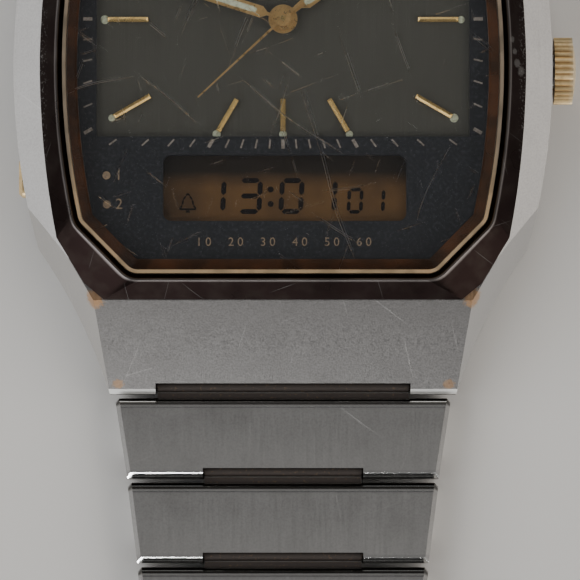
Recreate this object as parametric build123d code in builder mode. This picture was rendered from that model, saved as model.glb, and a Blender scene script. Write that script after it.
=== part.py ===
from build123d import *
import math
import os

# Wristwatch with hands and a small liquid crystal display, on a steel link bracelet.
# It lies flat and face up. The origin is the centre of the case back's outer face, +Z goes up
# through the crystal, +Y points to 12 o'clock and +X to the crown. All lengths are millimetres.

os.makedirs("parts", exist_ok=True)

# Clearances and overruns shared by all pieces
cut_over = 1.0
seat_gap = 0.05
pin_fit_gap = 0.01
running_gap = 0.04

# Case middle: bowed sides, a corner each side of the lugs, and lugs that slope down to the bracelet.
# Its width drives the bezel, the glass, the module's room and the bracelet
case_half_width = 16.03
case_side_bow_share = 0.0923
case_corner_y = 10.75
lug_tip_width_share = 0.646
flank_middle_share = 0.463
flank_middle_y = 14.5
lug_tip_y = 19.3
case_bottom_z = 0.5
case_top_z = 6.3
side_bevel_width_share = 0.1
side_bevel_height = 1.1
bottom_bevel = 0.45
slope_top_y = 13.9
facet_top_inset = 4.28
facet_top_y = 13.0
facet_side_inset = 2.63
facet_side_y = 10.2

case_corner_half_width = case_half_width * (1 - case_side_bow_share)
side_bevel_width = case_half_width * side_bevel_width_share
lug_tip_half_width = case_half_width * lug_tip_width_share
flank_reach = case_corner_half_width - lug_tip_half_width
flank_middle_half_width = lug_tip_half_width + flank_reach * flank_middle_share
facet_top_half_width = case_half_width - facet_top_inset
facet_side_half_width = case_half_width - facet_side_inset

# Glass opening: the outline that crystal, trim ring, bezel, mask and cavity all follow
glass_inset = 3.13
glass_side_bow = 1.0
glass_shoulder_y = 9.2
glass_end_inset = 3.96
glass_end_y = 12.2
glass_corner_round = 0.9

glass_half_width = case_half_width - glass_inset
glass_shoulder_half_width = glass_half_width - glass_side_bow
glass_end_half_width = glass_half_width - glass_end_inset

# Bezel, trim ring and crystal
bezel_foot_inset = 1.63
bezel_foot_corner_y = 12.9
bezel_foot_end_inset = 5.43
bezel_foot_end_y = 13.85
bezel_crest_offset = 0.57
bezel_crest_width = 0.08
bezel_height = 1.05
bezel_inner_drop = 0.35
bezel_foot_height = 0.12
trim_width = 0.25
trim_height = 1.35
crystal_thickness = 1.35
crystal_bevel_width = 0.5
crystal_bevel_height = 0.3
crystal_gasket_height = 0.3
cavity_lip_height = 0.3
cavity_lip_offset = 0.7
cavity_offset = 0.4

# Dial, mask and the axis of the hands
dial_axis_y = 2.8
dial_plate_z = 5.2
dial_plate_thickness = 0.3
mask_thickness = 0.45
panel_inset = 1.85
panel_below_axis = 6.99
window_centre_x = 0.1
window_width = 14.4
window_top_below_axis = 8.1
window_height = 3.9
window_corner_radius = 0.5
panel_corner_cut = 1.7

# Bracelet links
link_pitch = 5.05
link_thickness = 2.4
links_per_side = 9
first_link_step = 0.3
last_link_width_share = 0.711
taper_power_share = 2.5
ear_reach = 0.5
link_body_gap = 0.25
hinge_pin_radius = 0.3
knuckle_radius = 0.55
knuckle_clearance = 0.1
tongue_width_share = 0.671
lug_tongue_width_share = 0.736
tongue_side_gap = 0.1
notch_top_length = 0.62
ear_chamfer = 0.35
link_top_round = 0.7
link_side_bevel = 0.25
link_relief_length = 0.5

hinge_z = link_thickness / 2
lug_axis_y = lug_tip_y - ear_reach
first_link_width = 2 * (lug_tip_half_width - first_link_step)
last_link_width = first_link_width * last_link_width_share
tongue_width = last_link_width * tongue_width_share
lug_tongue_width = 2 * lug_tip_half_width * lug_tongue_width_share


# Outline of the case seen from above
def case_outline():
    with BuildLine() as outline:
        ThreePointArc(
            (case_corner_half_width, -case_corner_y),
            (case_half_width, 0),
            (case_corner_half_width, case_corner_y),
        )
        flank_arc(1, 1)
        Line((lug_tip_half_width, lug_tip_y), (-lug_tip_half_width, lug_tip_y))
        flank_arc(-1, 1)
        ThreePointArc(
            (-case_corner_half_width, case_corner_y),
            (-case_half_width, 0),
            (-case_corner_half_width, -case_corner_y),
        )
        flank_arc(-1, -1)
        Line((-lug_tip_half_width, -lug_tip_y), (lug_tip_half_width, -lug_tip_y))
        flank_arc(1, -1)
    make_face(outline.edges())


# Hollow curve from one corner of the case to the lug tip
def flank_arc(side, end):
    ThreePointArc(
        (side * case_corner_half_width, end * case_corner_y),
        (side * flank_middle_half_width, end * flank_middle_y),
        (side * lug_tip_half_width, end * lug_tip_y),
    )


# Outline with bowed sides and cut corners, alike on all four corners, drawn into the open sketch
def cut_corner_outline(half_width, corners):
    first_x, first_y = corners[0]
    right_upper = corners
    left_upper = [(-x, y) for x, y in reversed(corners)]
    left_lower = [(-x, -y) for x, y in corners]
    right_lower = [(x, -y) for x, y in reversed(corners)]
    with BuildLine() as outline:
        ThreePointArc((first_x, -first_y), (half_width, 0), (first_x, first_y))
        Polyline(*right_upper, *left_upper)
        ThreePointArc((-first_x, first_y), (-half_width, 0), (-first_x, -first_y))
        Polyline(*left_lower, *right_lower)
    make_face(outline.edges())


# The glass opening as a sketch, moved outwards by a distance, or inwards where it is negative. Its
# corners stay rounded as long as the distance leaves them a radius
def glass_outline(distance, plane=Plane.XY):
    corner_round = glass_corner_round + distance
    with BuildSketch(plane) as outline:
        cut_corner_outline(
            glass_half_width,
            [(glass_shoulder_half_width, glass_shoulder_y), (glass_end_half_width, glass_end_y)],
        )
        if distance != 0:
            offset(amount=distance, kind=Kind.INTERSECTION)
        if corner_round > seat_gap:
            fillet(outline.vertices(), radius=corner_round)
    return outline.sketch


# Cylinder along X, drawn into the open part, from one X to another
def bar_along_x(start_x, end_x, y, z, radius, mode=Mode.ADD):
    with BuildSketch(Plane.YZ.offset(start_x)) as section:
        with Locations((y, z)):
            Circle(radius)
    extrude(section.sketch, amount=end_x - start_x, mode=mode)


# Cylinder along Z, drawn into the open part
def bar_along_z(x, y, low_z, high_z, radius, mode=Mode.ADD):
    with BuildSketch(Plane.XY.offset(low_z)) as section:
        with Locations((x, y)):
            Circle(radius)
    extrude(section.sketch, amount=high_z - low_z, mode=mode)


# Block drawn into the open part, given by its centre in plan and its two heights
def block(x, y, width, length, low_z, high_z, mode=Mode.ADD):
    with BuildSketch(Plane.XY.offset(low_z)) as section:
        with Locations((x, y)):
            Rectangle(width, length)
    extrude(section.sketch, amount=high_z - low_z, mode=mode)


# Plate in the shape of the glass opening, drawn into the open part
def glass_plate(distance, low_z, high_z, mode=Mode.ADD):
    extrude(glass_outline(distance, Plane.XY.offset(low_z)), amount=high_z - low_z, mode=mode)


# Width of the bracelet at the nth joint from the case
def bracelet_width(joint):
    left = 1 - joint / links_per_side
    return last_link_width + (first_link_width - last_link_width) * left**taper_power_share


# Height of the centre line of crown, stem and pushers
control_z = 3.0

# Hinge notch at the end of a link or lug, drawn as a cut into the open part: the round room of the
# knuckle, the open mouth above and outside it, and the open underside
def cut_hinge_notch(axis_y, way, width):
    room = knuckle_radius + knuckle_clearance
    mouth_y = axis_y + way * (ear_reach - notch_top_length)
    far_y = axis_y + way * (ear_reach + cut_over)
    bar_along_x(-width / 2, width / 2, axis_y, hinge_z, room, Mode.SUBTRACT)
    with BuildSketch(Plane.YZ.offset(-width / 2)) as section:
        with BuildLine():
            Polyline(
                (mouth_y, link_thickness + cut_over),
                (far_y, link_thickness + cut_over),
                (far_y, -cut_over),
                (axis_y - way * room, -cut_over),
                (axis_y - way * room, hinge_z),
                (mouth_y, hinge_z),
                close=True,
            )
        make_face()
    extrude(section.sketch, amount=width, mode=Mode.SUBTRACT)


# Case middle, with its controls' holes, the seat of the bracelet pins and four screw holes
crown_tube_radius = 1.0
crown_tube_bore_radius = 0.62
crown_tube_reach = 0.45
pusher_y = 6.4
pusher_length = 2.4
pusher_height = 1.3
pusher_proud = 0.25
pusher_head_depth = 1.3
pusher_pocket_depth = 2.2
pusher_shaft_radius = 0.4
pusher_side_gap = 0.06
case_screw_x = facet_top_half_width
case_screw_y = 11.3
case_screw_radius = 0.5
case_screw_depth = 1.8
slope_foot_z = link_thickness

cavity_top_z = case_top_z - cavity_lip_height
side_sag = case_half_width - case_corner_half_width
side_radius = (case_corner_y**2 + side_sag**2) / (2 * side_sag)
pusher_wall_x = case_half_width - side_radius + math.sqrt(side_radius**2 - pusher_y**2)
pusher_pocket_x = pusher_wall_x - pusher_pocket_depth


# Facet that runs down the lug's flank from the bezel's corner, as the plane it is ground to
def lug_facet(side, end):
    side_point = Vector(side * facet_side_half_width, end * facet_side_y, case_top_z)
    top_point = Vector(side * facet_top_half_width, end * facet_top_y, case_top_z)
    tip_point = Vector(side * lug_tip_half_width, end * lug_tip_y, slope_foot_z)
    normal = (top_point - side_point).cross(tip_point - side_point)
    if normal.Z < 0:
        normal = normal * -1
    return Plane(origin=top_point, z_dir=normal)


with BuildPart() as case_middle:
    with BuildSketch(Plane.XY.offset(case_bottom_z)):
        case_outline()
    extrude(amount=case_top_z - case_bottom_z)
    bowed = case_middle.edges().filter_by(GeomType.CIRCLE)
    sides = bowed.filter_by(lambda edge: abs(edge.center().Y) < case_corner_y / 2)
    chamfer(sides.group_by(Axis.Z)[-1], length=side_bevel_height, length2=side_bevel_width)
    chamfer(case_middle.edges().group_by(Axis.Z)[0], length=bottom_bevel)
    for end in (1, -1):
        with BuildSketch(Plane.YZ.offset(-case_half_width)):
            with BuildLine():
                Polyline(
                    (end * slope_top_y, case_top_z),
                    (end * lug_tip_y, slope_foot_z),
                    (end * (lug_tip_y + cut_over), slope_foot_z),
                    (end * (lug_tip_y + cut_over), case_top_z + cut_over),
                    (end * slope_top_y, case_top_z + cut_over),
                    close=True,
                )
            make_face()
        extrude(amount=2 * case_half_width, mode=Mode.SUBTRACT)
    for side in (1, -1):
        for end in (1, -1):
            split(bisect_by=lug_facet(side, end), keep=Keep.BOTTOM)
    tip_edges = case_middle.edges().filter_by(Axis.X)
    tip_edges = tip_edges.filter_by(lambda edge: abs(edge.center().Y) > lug_tip_y - pin_fit_gap)
    chamfer(tip_edges.filter_by(lambda edge: edge.center().Z > hinge_z), length=ear_chamfer)
    for end in (1, -1):
        cut_hinge_notch(end * lug_axis_y, end, lug_tongue_width)
        bar_along_x(
            -lug_tip_half_width - cut_over,
            lug_tip_half_width + cut_over,
            end * lug_axis_y,
            hinge_z,
            hinge_pin_radius + running_gap,
            Mode.SUBTRACT,
        )
    glass_plate(-cavity_offset, 0, cavity_top_z, Mode.SUBTRACT)
    glass_plate(-cavity_lip_offset, 0, case_top_z + cut_over, Mode.SUBTRACT)
    bar_along_x(
        glass_half_width,
        case_half_width + crown_tube_reach,
        0,
        control_z,
        crown_tube_radius,
    )
    bar_along_x(
        0,
        case_half_width + crown_tube_reach + cut_over,
        0,
        control_z,
        crown_tube_bore_radius,
        Mode.SUBTRACT,
    )
    for end in (1, -1):
        with BuildSketch(Plane.YZ.offset(-case_half_width - cut_over)):
            with Locations((end * pusher_y, control_z)):
                SlotOverall(pusher_length + 2 * pusher_side_gap, pusher_height + 2 * pusher_side_gap)
        extrude(amount=case_half_width + cut_over - pusher_pocket_x, mode=Mode.SUBTRACT)
        bar_along_x(
            -case_half_width,
            0,
            end * pusher_y,
            control_z,
            pusher_shaft_radius + pusher_side_gap,
            Mode.SUBTRACT,
        )
    for x in (case_screw_x, -case_screw_x):
        for y in (case_screw_y, -case_screw_y):
            bar_along_z(
                x, y, 0, case_bottom_z + case_screw_depth, case_screw_radius + pin_fit_gap, Mode.SUBTRACT
            )
case_middle.part.label = "case_middle"
export_step(case_middle.part, "parts/case_middle.step")

# Bezel: a frame ground down to its foot all round, with a narrow bright crest and a slope down to
# the trim ring inside it
bezel_crest_z = case_top_z + bezel_height
bezel_inner_offset = trim_width - seat_gap
bezel_turn_share = 0.3


# Foot of the bezel. Each corner has three edges, for the crest's two rounds and the cut between them
def foot_outline():
    side_point = (facet_side_half_width, facet_side_y)
    corner_point = (facet_top_half_width, bezel_foot_corner_y)
    turn_point = tuple(a + (b - a) * bezel_turn_share for a, b in zip(side_point, corner_point))
    end_point = (case_half_width - bezel_foot_end_inset, bezel_foot_end_y)
    cut_corner_outline(
        case_half_width - bezel_foot_inset, [side_point, turn_point, corner_point, end_point]
    )


with BuildPart() as bezel:
    with BuildSketch(Plane.XY.offset(case_top_z)) as foot:
        foot_outline()
    extrude(amount=bezel_foot_height)
    foot_face = foot.sketch.faces()[0].moved(Location((0, 0, bezel_foot_height)))
    crest_face = glass_outline(bezel_crest_offset, Plane.XY.offset(bezel_crest_z)).faces()[0]
    loft([foot_face, crest_face], ruled=True)
    glass_plate(bezel_inner_offset, 0, bezel_crest_z + cut_over, Mode.SUBTRACT)
    slope_foot = glass_outline(bezel_inner_offset, Plane.XY.offset(bezel_crest_z - bezel_inner_drop))
    slope_top = glass_outline(bezel_crest_offset - bezel_crest_width, Plane.XY.offset(bezel_crest_z))
    loft([slope_foot.faces()[0], slope_top.faces()[0]], ruled=True, mode=Mode.SUBTRACT)
bezel.part.label = "bezel"
export_step(bezel.part, "parts/bezel.step")

# Trim ring between bezel and crystal, gold in tone
trim_inner_offset = -seat_gap

with BuildPart() as trim_ring:
    glass_plate(bezel_inner_offset - seat_gap, case_top_z, case_top_z + trim_height)
    glass_plate(trim_inner_offset, 0, case_top_z + trim_height + cut_over, Mode.SUBTRACT)
trim_ring.part.label = "trim_ring"
export_step(trim_ring.part, "parts/trim_ring.step")

# Crystal: flat mineral glass with a ground bevel all round, on its gasket
crystal_offset = trim_inner_offset - seat_gap
crystal_z = case_top_z + crystal_gasket_height
crystal_top_z = crystal_z + crystal_thickness

with BuildPart() as crystal:
    glass_plate(crystal_offset, crystal_z, crystal_top_z)
    top_edges = crystal.edges().group_by(Axis.Z)[-1]
    chamfer(top_edges, length=crystal_bevel_height, length2=crystal_bevel_width)
crystal.part.label = "crystal"
export_step(crystal.part, "parts/crystal.step")

with BuildPart() as crystal_gasket:
    glass_plate(crystal_offset, case_top_z, crystal_z)
    glass_plate(-cavity_lip_offset, 0, crystal_z + cut_over, Mode.SUBTRACT)
crystal_gasket.part.label = "crystal_gasket"
export_step(crystal_gasket.part, "parts/crystal_gasket.step")

# Case back: a plate under the case with a plug that fills the cavity's mouth, held by four screws
back_inset = 2.73
back_half_length = 12.9
back_corner_radius = 1.6
back_plug_height = 0.4
back_gasket_width = 0.45
back_face_bevel = 0.15
screw_head_radius = 0.85
screw_head_height = 0.3
screw_slot_width = 0.2
screw_slot_depth = 0.15
screw_length = 2.0

back_half_width = case_half_width - back_inset
back_plug_z = case_bottom_z + back_plug_height
back_gasket_offset = -cavity_offset - back_gasket_width

with BuildPart() as caseback:
    with BuildSketch():
        RectangleRounded(2 * back_half_width, 2 * back_half_length, back_corner_radius)
    extrude(amount=case_bottom_z)
    chamfer(caseback.edges().group_by(Axis.Z)[0], length=back_face_bevel)
    glass_plate(back_gasket_offset, case_bottom_z, back_plug_z)
    for x in (case_screw_x, -case_screw_x):
        for y in (case_screw_y, -case_screw_y):
            bar_along_z(x, y, 0, case_bottom_z, case_screw_radius + seat_gap, Mode.SUBTRACT)
            bar_along_z(x, y, 0, screw_head_height, screw_head_radius + seat_gap, Mode.SUBTRACT)
caseback.part.label = "caseback"
export_step(caseback.part, "parts/caseback.step")

with BuildPart() as caseback_screws:
    for x in (case_screw_x, -case_screw_x):
        for y in (case_screw_y, -case_screw_y):
            bar_along_z(x, y, seat_gap, screw_head_height, screw_head_radius)
            bar_along_z(x, y, seat_gap, screw_length, case_screw_radius)
            block(
                x,
                y,
                2 * screw_head_radius,
                screw_slot_width,
                0,
                seat_gap + screw_slot_depth,
                Mode.SUBTRACT,
            )
caseback_screws.part.label = "caseback_screws"
export_step(caseback_screws.part, "parts/caseback_screws.step")

# Rubber gaskets: one round the case back's plug, one round the stem in its tube
stem_radius = 0.42
stem_gasket_length = 0.5
stem_gasket_x = case_half_width - stem_gasket_length

with BuildPart() as case_gaskets:
    glass_plate(-cavity_offset - seat_gap, case_bottom_z, back_plug_z)
    glass_plate(back_gasket_offset + seat_gap, 0, back_plug_z + cut_over, Mode.SUBTRACT)
    bar_along_x(
        stem_gasket_x,
        stem_gasket_x + stem_gasket_length,
        0,
        control_z,
        crown_tube_bore_radius - pin_fit_gap,
    )
    bar_along_x(0, case_half_width + cut_over, 0, control_z, stem_radius + running_gap, Mode.SUBTRACT)
case_gaskets.part.label = "case_gaskets"
export_step(case_gaskets.part, "parts/case_gaskets.step")

# Sound disc of the alarm, stuck to the inside of the case back
sound_disc_share = 0.7
sound_disc_thickness = 0.12
sound_crystal_share = 0.72
sound_crystal_thickness = 0.12

sound_disc_radius = glass_half_width * sound_disc_share
sound_crystal_radius = sound_disc_radius * sound_crystal_share

with BuildPart() as sound_disc:
    bar_along_z(0, 0, back_plug_z, back_plug_z + sound_disc_thickness, sound_disc_radius)
    bar_along_z(
        0,
        0,
        back_plug_z + sound_disc_thickness,
        back_plug_z + sound_disc_thickness + sound_crystal_thickness,
        sound_crystal_radius,
    )
sound_disc.part.label = "sound_disc"
export_step(sound_disc.part, "parts/sound_disc.step")

# Axes of the wheels: train and bridge share one line through the axis of the hands
tooth_height_share = 0.7
tooth_depth_share = 1.0
tooth_root_share = 0.24
tooth_tip_share = 0.10
rotor_pinion_teeth = 6
intermediate_teeth = 30
intermediate_pinion_teeth = 6
second_wheel_teeth = 36
second_pinion_teeth = 6
third_wheel_teeth = 45
third_pinion_teeth = 6
centre_wheel_teeth = 48
cannon_pinion_teeth = 8
minute_wheel_teeth = 24
minute_pinion_teeth = 6
hour_wheel_teeth = 24
rotor_magnet_radius = 0.72
rotor_magnet_height = 0.5
rotor_module = 0.12
second_module = 0.155
third_module = 0.125
motion_module = 0.12
train_angle = 120
motion_angle = 30

third_distance = (second_pinion_teeth + third_wheel_teeth) * third_module / 2
centre_module = 2 * third_distance / (third_pinion_teeth + centre_wheel_teeth)
intermediate_distance = (second_wheel_teeth + intermediate_pinion_teeth) * second_module / 2
rotor_distance = (intermediate_teeth + rotor_pinion_teeth) * rotor_module / 2
motion_distance = (cannon_pinion_teeth + minute_wheel_teeth) * motion_module / 2
hour_module = 2 * motion_distance / (minute_pinion_teeth + hour_wheel_teeth)


# Place at a distance from the axis of the hands, in a direction
def from_dial_axis(distance, direction):
    angle = math.radians(direction)
    return (distance * math.cos(angle), dial_axis_y + distance * math.sin(angle))


third_place = from_dial_axis(third_distance, train_angle)
intermediate_place = from_dial_axis(intermediate_distance, train_angle + 180)
rotor_place = from_dial_axis(intermediate_distance + rotor_distance, train_angle + 180)
minute_wheel_place = from_dial_axis(motion_distance, motion_angle)
dial_place = (0, dial_axis_y)

# Heights inside the module, from the train bridge up to the hands
bridge_z = 1.5
bridge_thickness = 0.35
wheel_thickness = 0.22
second_wheel_z = 2.2
third_wheel_z = 2.62
intermediate_wheel_z = 2.75
centre_wheel_z = 3.2
pinion_overlap = 0.1
main_plate_z = 3.6
main_plate_thickness = 0.55
motion_level_z = 4.3
hour_level_z = 4.72
hour_hand_z = 5.8
minute_hand_z = 6.08
second_hand_z = 6.32
hand_thickness = 0.1
hub_height = 0.14
arbor_radius = 0.12
second_arbor_radius = 0.15
centre_pipe_radius = 0.3
hour_pipe_radius = 0.48
pipe_gap = 0.04

bridge_top_z = bridge_z + bridge_thickness
main_plate_top_z = main_plate_z + main_plate_thickness
dial_plate_top_z = dial_plate_z + dial_plate_thickness
mask_top_z = dial_plate_top_z + mask_thickness


# Toothed disc drawn into the open part, turned so that a tooth or a gap faces a direction
def toothed_disc(place, teeth, module, low_z, high_z, direction, tooth_faces):
    pitch = 360 / teeth
    first = direction if tooth_faces else direction + pitch / 2
    root_radius = module * (teeth / 2 - tooth_depth_share)
    tip_radius = module * (teeth / 2 + tooth_height_share)
    corners = (
        (root_radius, -tooth_root_share),
        (tip_radius, -tooth_tip_share),
        (tip_radius, tooth_tip_share),
        (root_radius, tooth_root_share),
    )
    points = []
    for tooth in range(teeth):
        for radius, share in corners:
            angle = math.radians(first + pitch * (tooth + share))
            points.append((radius * math.cos(angle), radius * math.sin(angle)))
    with BuildSketch(Plane.XY.offset(low_z)) as section:
        with Locations(place):
            Polygon(*points, align=None)
    extrude(section.sketch, amount=high_z - low_z)


# Arbor of a wheel, from the bridge's hole up to a height
def arbor(place, high_z, radius=arbor_radius):
    bar_along_z(*place, bridge_z + seat_gap, high_z, radius)


away_from_centre = train_angle + 180

with BuildPart() as rotor:
    bar_along_z(
        *rotor_place,
        bridge_top_z + seat_gap,
        bridge_top_z + seat_gap + rotor_magnet_height,
        rotor_magnet_radius,
    )
    toothed_disc(
        rotor_place,
        rotor_pinion_teeth,
        rotor_module,
        intermediate_wheel_z - pinion_overlap,
        intermediate_wheel_z + wheel_thickness + pinion_overlap,
        train_angle,
        True,
    )
    arbor(rotor_place, main_plate_z + seat_gap)
rotor.part.label = "rotor"
export_step(rotor.part, "parts/rotor.step")

with BuildPart() as intermediate_wheel:
    toothed_disc(
        intermediate_place,
        intermediate_teeth,
        rotor_module,
        intermediate_wheel_z,
        intermediate_wheel_z + wheel_thickness,
        away_from_centre,
        False,
    )
    toothed_disc(
        intermediate_place,
        intermediate_pinion_teeth,
        second_module,
        second_wheel_z - pinion_overlap,
        second_wheel_z + wheel_thickness + pinion_overlap,
        train_angle,
        True,
    )
    arbor(intermediate_place, main_plate_z + seat_gap)
intermediate_wheel.part.label = "intermediate_wheel"
export_step(intermediate_wheel.part, "parts/intermediate_wheel.step")

with BuildPart() as second_wheel:
    toothed_disc(
        dial_place,
        second_wheel_teeth,
        second_module,
        second_wheel_z,
        second_wheel_z + wheel_thickness,
        away_from_centre,
        False,
    )
    toothed_disc(
        dial_place,
        second_pinion_teeth,
        third_module,
        third_wheel_z - pinion_overlap,
        third_wheel_z + wheel_thickness + pinion_overlap,
        train_angle,
        True,
    )
    arbor(dial_place, second_hand_z + hub_height, second_arbor_radius)
second_wheel.part.label = "second_wheel"
export_step(second_wheel.part, "parts/second_wheel.step")

with BuildPart() as third_wheel:
    toothed_disc(
        third_place,
        third_wheel_teeth,
        third_module,
        third_wheel_z,
        third_wheel_z + wheel_thickness,
        away_from_centre,
        False,
    )
    toothed_disc(
        third_place,
        third_pinion_teeth,
        centre_module,
        centre_wheel_z - pinion_overlap,
        centre_wheel_z + wheel_thickness + pinion_overlap,
        away_from_centre,
        True,
    )
    arbor(third_place, main_plate_z + seat_gap)
third_wheel.part.label = "third_wheel"
export_step(third_wheel.part, "parts/third_wheel.step")

with BuildPart() as centre_wheel:
    toothed_disc(
        dial_place,
        centre_wheel_teeth,
        centre_module,
        centre_wheel_z,
        centre_wheel_z + wheel_thickness,
        train_angle,
        False,
    )
    bar_along_z(*dial_place, centre_wheel_z, minute_hand_z + hub_height, centre_pipe_radius)
    toothed_disc(
        dial_place,
        cannon_pinion_teeth,
        motion_module,
        motion_level_z - seat_gap,
        motion_level_z + wheel_thickness + seat_gap,
        motion_angle,
        True,
    )
    bar_along_z(
        *dial_place, 0, minute_hand_z + cut_over, second_arbor_radius + pipe_gap, Mode.SUBTRACT
    )
centre_wheel.part.label = "centre_wheel"
export_step(centre_wheel.part, "parts/centre_wheel.step")

with BuildPart() as minute_wheel:
    toothed_disc(
        minute_wheel_place,
        minute_wheel_teeth,
        motion_module,
        motion_level_z,
        motion_level_z + wheel_thickness,
        motion_angle + 180,
        False,
    )
    toothed_disc(
        minute_wheel_place,
        minute_pinion_teeth,
        hour_module,
        motion_level_z + wheel_thickness,
        hour_level_z + wheel_thickness + seat_gap,
        motion_angle + 180,
        True,
    )
    bar_along_z(*minute_wheel_place, main_plate_z + seat_gap, dial_plate_z - seat_gap, arbor_radius)
minute_wheel.part.label = "minute_wheel"
export_step(minute_wheel.part, "parts/minute_wheel.step")

with BuildPart() as hour_wheel:
    toothed_disc(
        dial_place,
        hour_wheel_teeth,
        hour_module,
        hour_level_z,
        hour_level_z + wheel_thickness,
        motion_angle,
        False,
    )
    bar_along_z(*dial_place, hour_level_z, hour_hand_z + hub_height, hour_pipe_radius)
    bar_along_z(*dial_place, 0, hour_hand_z + cut_over, centre_pipe_radius + pipe_gap, Mode.SUBTRACT)
hour_wheel.part.label = "hour_wheel"
export_step(hour_wheel.part, "parts/hour_wheel.step")

# Hands, set to about twelve minutes to two. Each is a flat blade on a round hub over its pipe
hour_hand_angle = 54.0
minute_hand_angle = 287.5
second_hand_angle = 227.0
hour_hand_length = 5.0
hour_hand_width = 0.8
minute_hand_length = 7.2
minute_hand_width = 0.7
second_hand_length = 6.9
second_hand_width = 0.16
second_tail_length = 1.9
hand_neck_share = 0.3
hand_neck_end_share = 1.5
hour_hub_radius = 0.86
minute_hub_radius = 0.66
second_hub_radius = 0.48


# Blade of a hand drawn into the open part: a thin neck, a broad blade and a short point
def hand_blade(length, width, hub_radius, low_z, clock_angle):
    neck_end = hub_radius * hand_neck_end_share
    half = width / 2
    neck = half * hand_neck_share
    with BuildSketch(Plane.XY.offset(low_z)) as section:
        with Locations(Location(dial_place, -clock_angle)):
            Polygon(
                (-neck, 0),
                (neck, 0),
                (neck, neck_end),
                (half, neck_end + half),
                (half, length - width),
                (0, length),
                (-half, length - width),
                (-half, neck_end + half),
                (-neck, neck_end),
                align=None,
            )
    extrude(section.sketch, amount=hand_thickness)


# Hub of a hand with the hole that its pipe is pressed into
def hand_hub(radius, pipe_radius, low_z):
    bar_along_z(*dial_place, low_z, low_z + hub_height, radius)
    bar_along_z(*dial_place, 0, low_z + cut_over, pipe_radius + pin_fit_gap, Mode.SUBTRACT)


with BuildPart() as hour_hand:
    hand_blade(hour_hand_length, hour_hand_width, hour_hub_radius, hour_hand_z, hour_hand_angle)
    hand_hub(hour_hub_radius, hour_pipe_radius, hour_hand_z)
hour_hand.part.label = "hour_hand"
export_step(hour_hand.part, "parts/hour_hand.step")

with BuildPart() as minute_hand:
    hand_blade(
        minute_hand_length, minute_hand_width, minute_hub_radius, minute_hand_z, minute_hand_angle
    )
    hand_hub(minute_hub_radius, centre_pipe_radius, minute_hand_z)
minute_hand.part.label = "minute_hand"
export_step(minute_hand.part, "parts/minute_hand.step")

with BuildPart() as second_hand:
    with BuildSketch(Plane.XY.offset(second_hand_z)) as blade:
        with Locations(Location(dial_place, -second_hand_angle)):
            Polygon(
                (-second_hand_width / 2, -second_tail_length),
                (second_hand_width / 2, -second_tail_length),
                (second_hand_width / 4, second_hand_length),
                (-second_hand_width / 4, second_hand_length),
                align=None,
            )
    extrude(blade.sketch, amount=hand_thickness)
    hand_hub(second_hub_radius, second_arbor_radius, second_hand_z)
second_hand.part.label = "second_hand"
export_step(second_hand.part, "parts/second_hand.step")

# Dial plate: the grey panel behind the hands, with the hole of the hour pipe
dial_outline_offset = -cavity_offset - seat_gap
dial_plate_edge_y = dial_axis_y - window_top_below_axis + window_corner_radius
window_y = dial_axis_y - window_top_below_axis - window_height / 2
panel_half_width = glass_half_width - panel_inset

cut_length = glass_end_y + dial_plate_edge_y

with BuildPart() as dial_plate:
    glass_plate(dial_outline_offset, dial_plate_z, dial_plate_top_z)
    block(
        0,
        dial_plate_edge_y - cut_length / 2,
        2 * glass_half_width,
        cut_length,
        0,
        dial_plate_top_z + cut_over,
        Mode.SUBTRACT,
    )
    bar_along_z(*dial_place, 0, dial_plate_top_z + cut_over, hour_pipe_radius + running_gap, Mode.SUBTRACT)
dial_plate.part.label = "dial_plate"
export_step(dial_plate.part, "parts/dial_plate.step")

# Mask: the dark frame over dial plate and display, with a window for each
with BuildPart() as dial_mask:
    glass_plate(dial_outline_offset, dial_plate_top_z, mask_top_z)
    with BuildSketch(Plane.XY.offset(dial_plate_top_z)) as panel:
        with Locations(dial_place):
            Rectangle(2 * panel_half_width, 2 * panel_below_axis)
        chamfer(panel.vertices().group_by(Axis.Y)[-1], length=panel_corner_cut)
    extrude(amount=mask_thickness, mode=Mode.SUBTRACT)
    with BuildSketch(Plane.XY.offset(dial_plate_top_z)):
        with Locations((window_centre_x, window_y)):
            RectangleRounded(window_width, window_height, window_corner_radius)
    extrude(amount=mask_thickness, mode=Mode.SUBTRACT)
dial_mask.part.label = "dial_mask"
export_step(dial_mask.part, "parts/dial_mask.step")

# Applied batons at the hours. Each ends near the panel's edge, at a distance from the hands' axis that
# repeats in every quarter: at 12 and 6, beside them, beside 3 and 9, and at 3 and 9
baton_width = 0.3
baton_height = 0.2
hours = 12
upright_baton_gap = 0.34
upright_baton_length = 1.92
steep_baton_length = 2.2
shallow_baton_gap = 1.05
shallow_baton_length = 2.45
level_baton_gap = 0.65
level_baton_length = 2.4

hour_angle = 360 / hours
hour_cosine = math.cos(math.radians(hour_angle))
hour_sine = math.sin(math.radians(hour_angle))
upright_baton_end = panel_below_axis - upright_baton_gap
steep_baton_end = upright_baton_end / hour_cosine
shallow_baton_end = min(
    (panel_half_width - shallow_baton_gap) / hour_cosine, upright_baton_end / hour_sine
)
level_baton_end = panel_half_width - level_baton_gap
baton_forms = (
    (upright_baton_end, upright_baton_length),
    (steep_baton_end, steep_baton_length),
    (shallow_baton_end, shallow_baton_length),
    (level_baton_end, level_baton_length),
)

with BuildPart() as hour_markers:
    for hour in range(hours):
        past_upright = hour % (hours // 2)
        baton_end, baton_length = baton_forms[min(past_upright, hours // 2 - past_upright)]
        with BuildSketch(Plane.XY.offset(dial_plate_top_z)) as baton:
            with Locations(Location(dial_place, -hour_angle * hour)):
                with Locations((0, baton_end - baton_length / 2)):
                    Rectangle(baton_width, baton_length)
        extrude(baton.sketch, amount=baton_height)
hour_markers.part.label = "hour_markers"
export_step(hour_markers.part, "parts/hour_markers.step")

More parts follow.
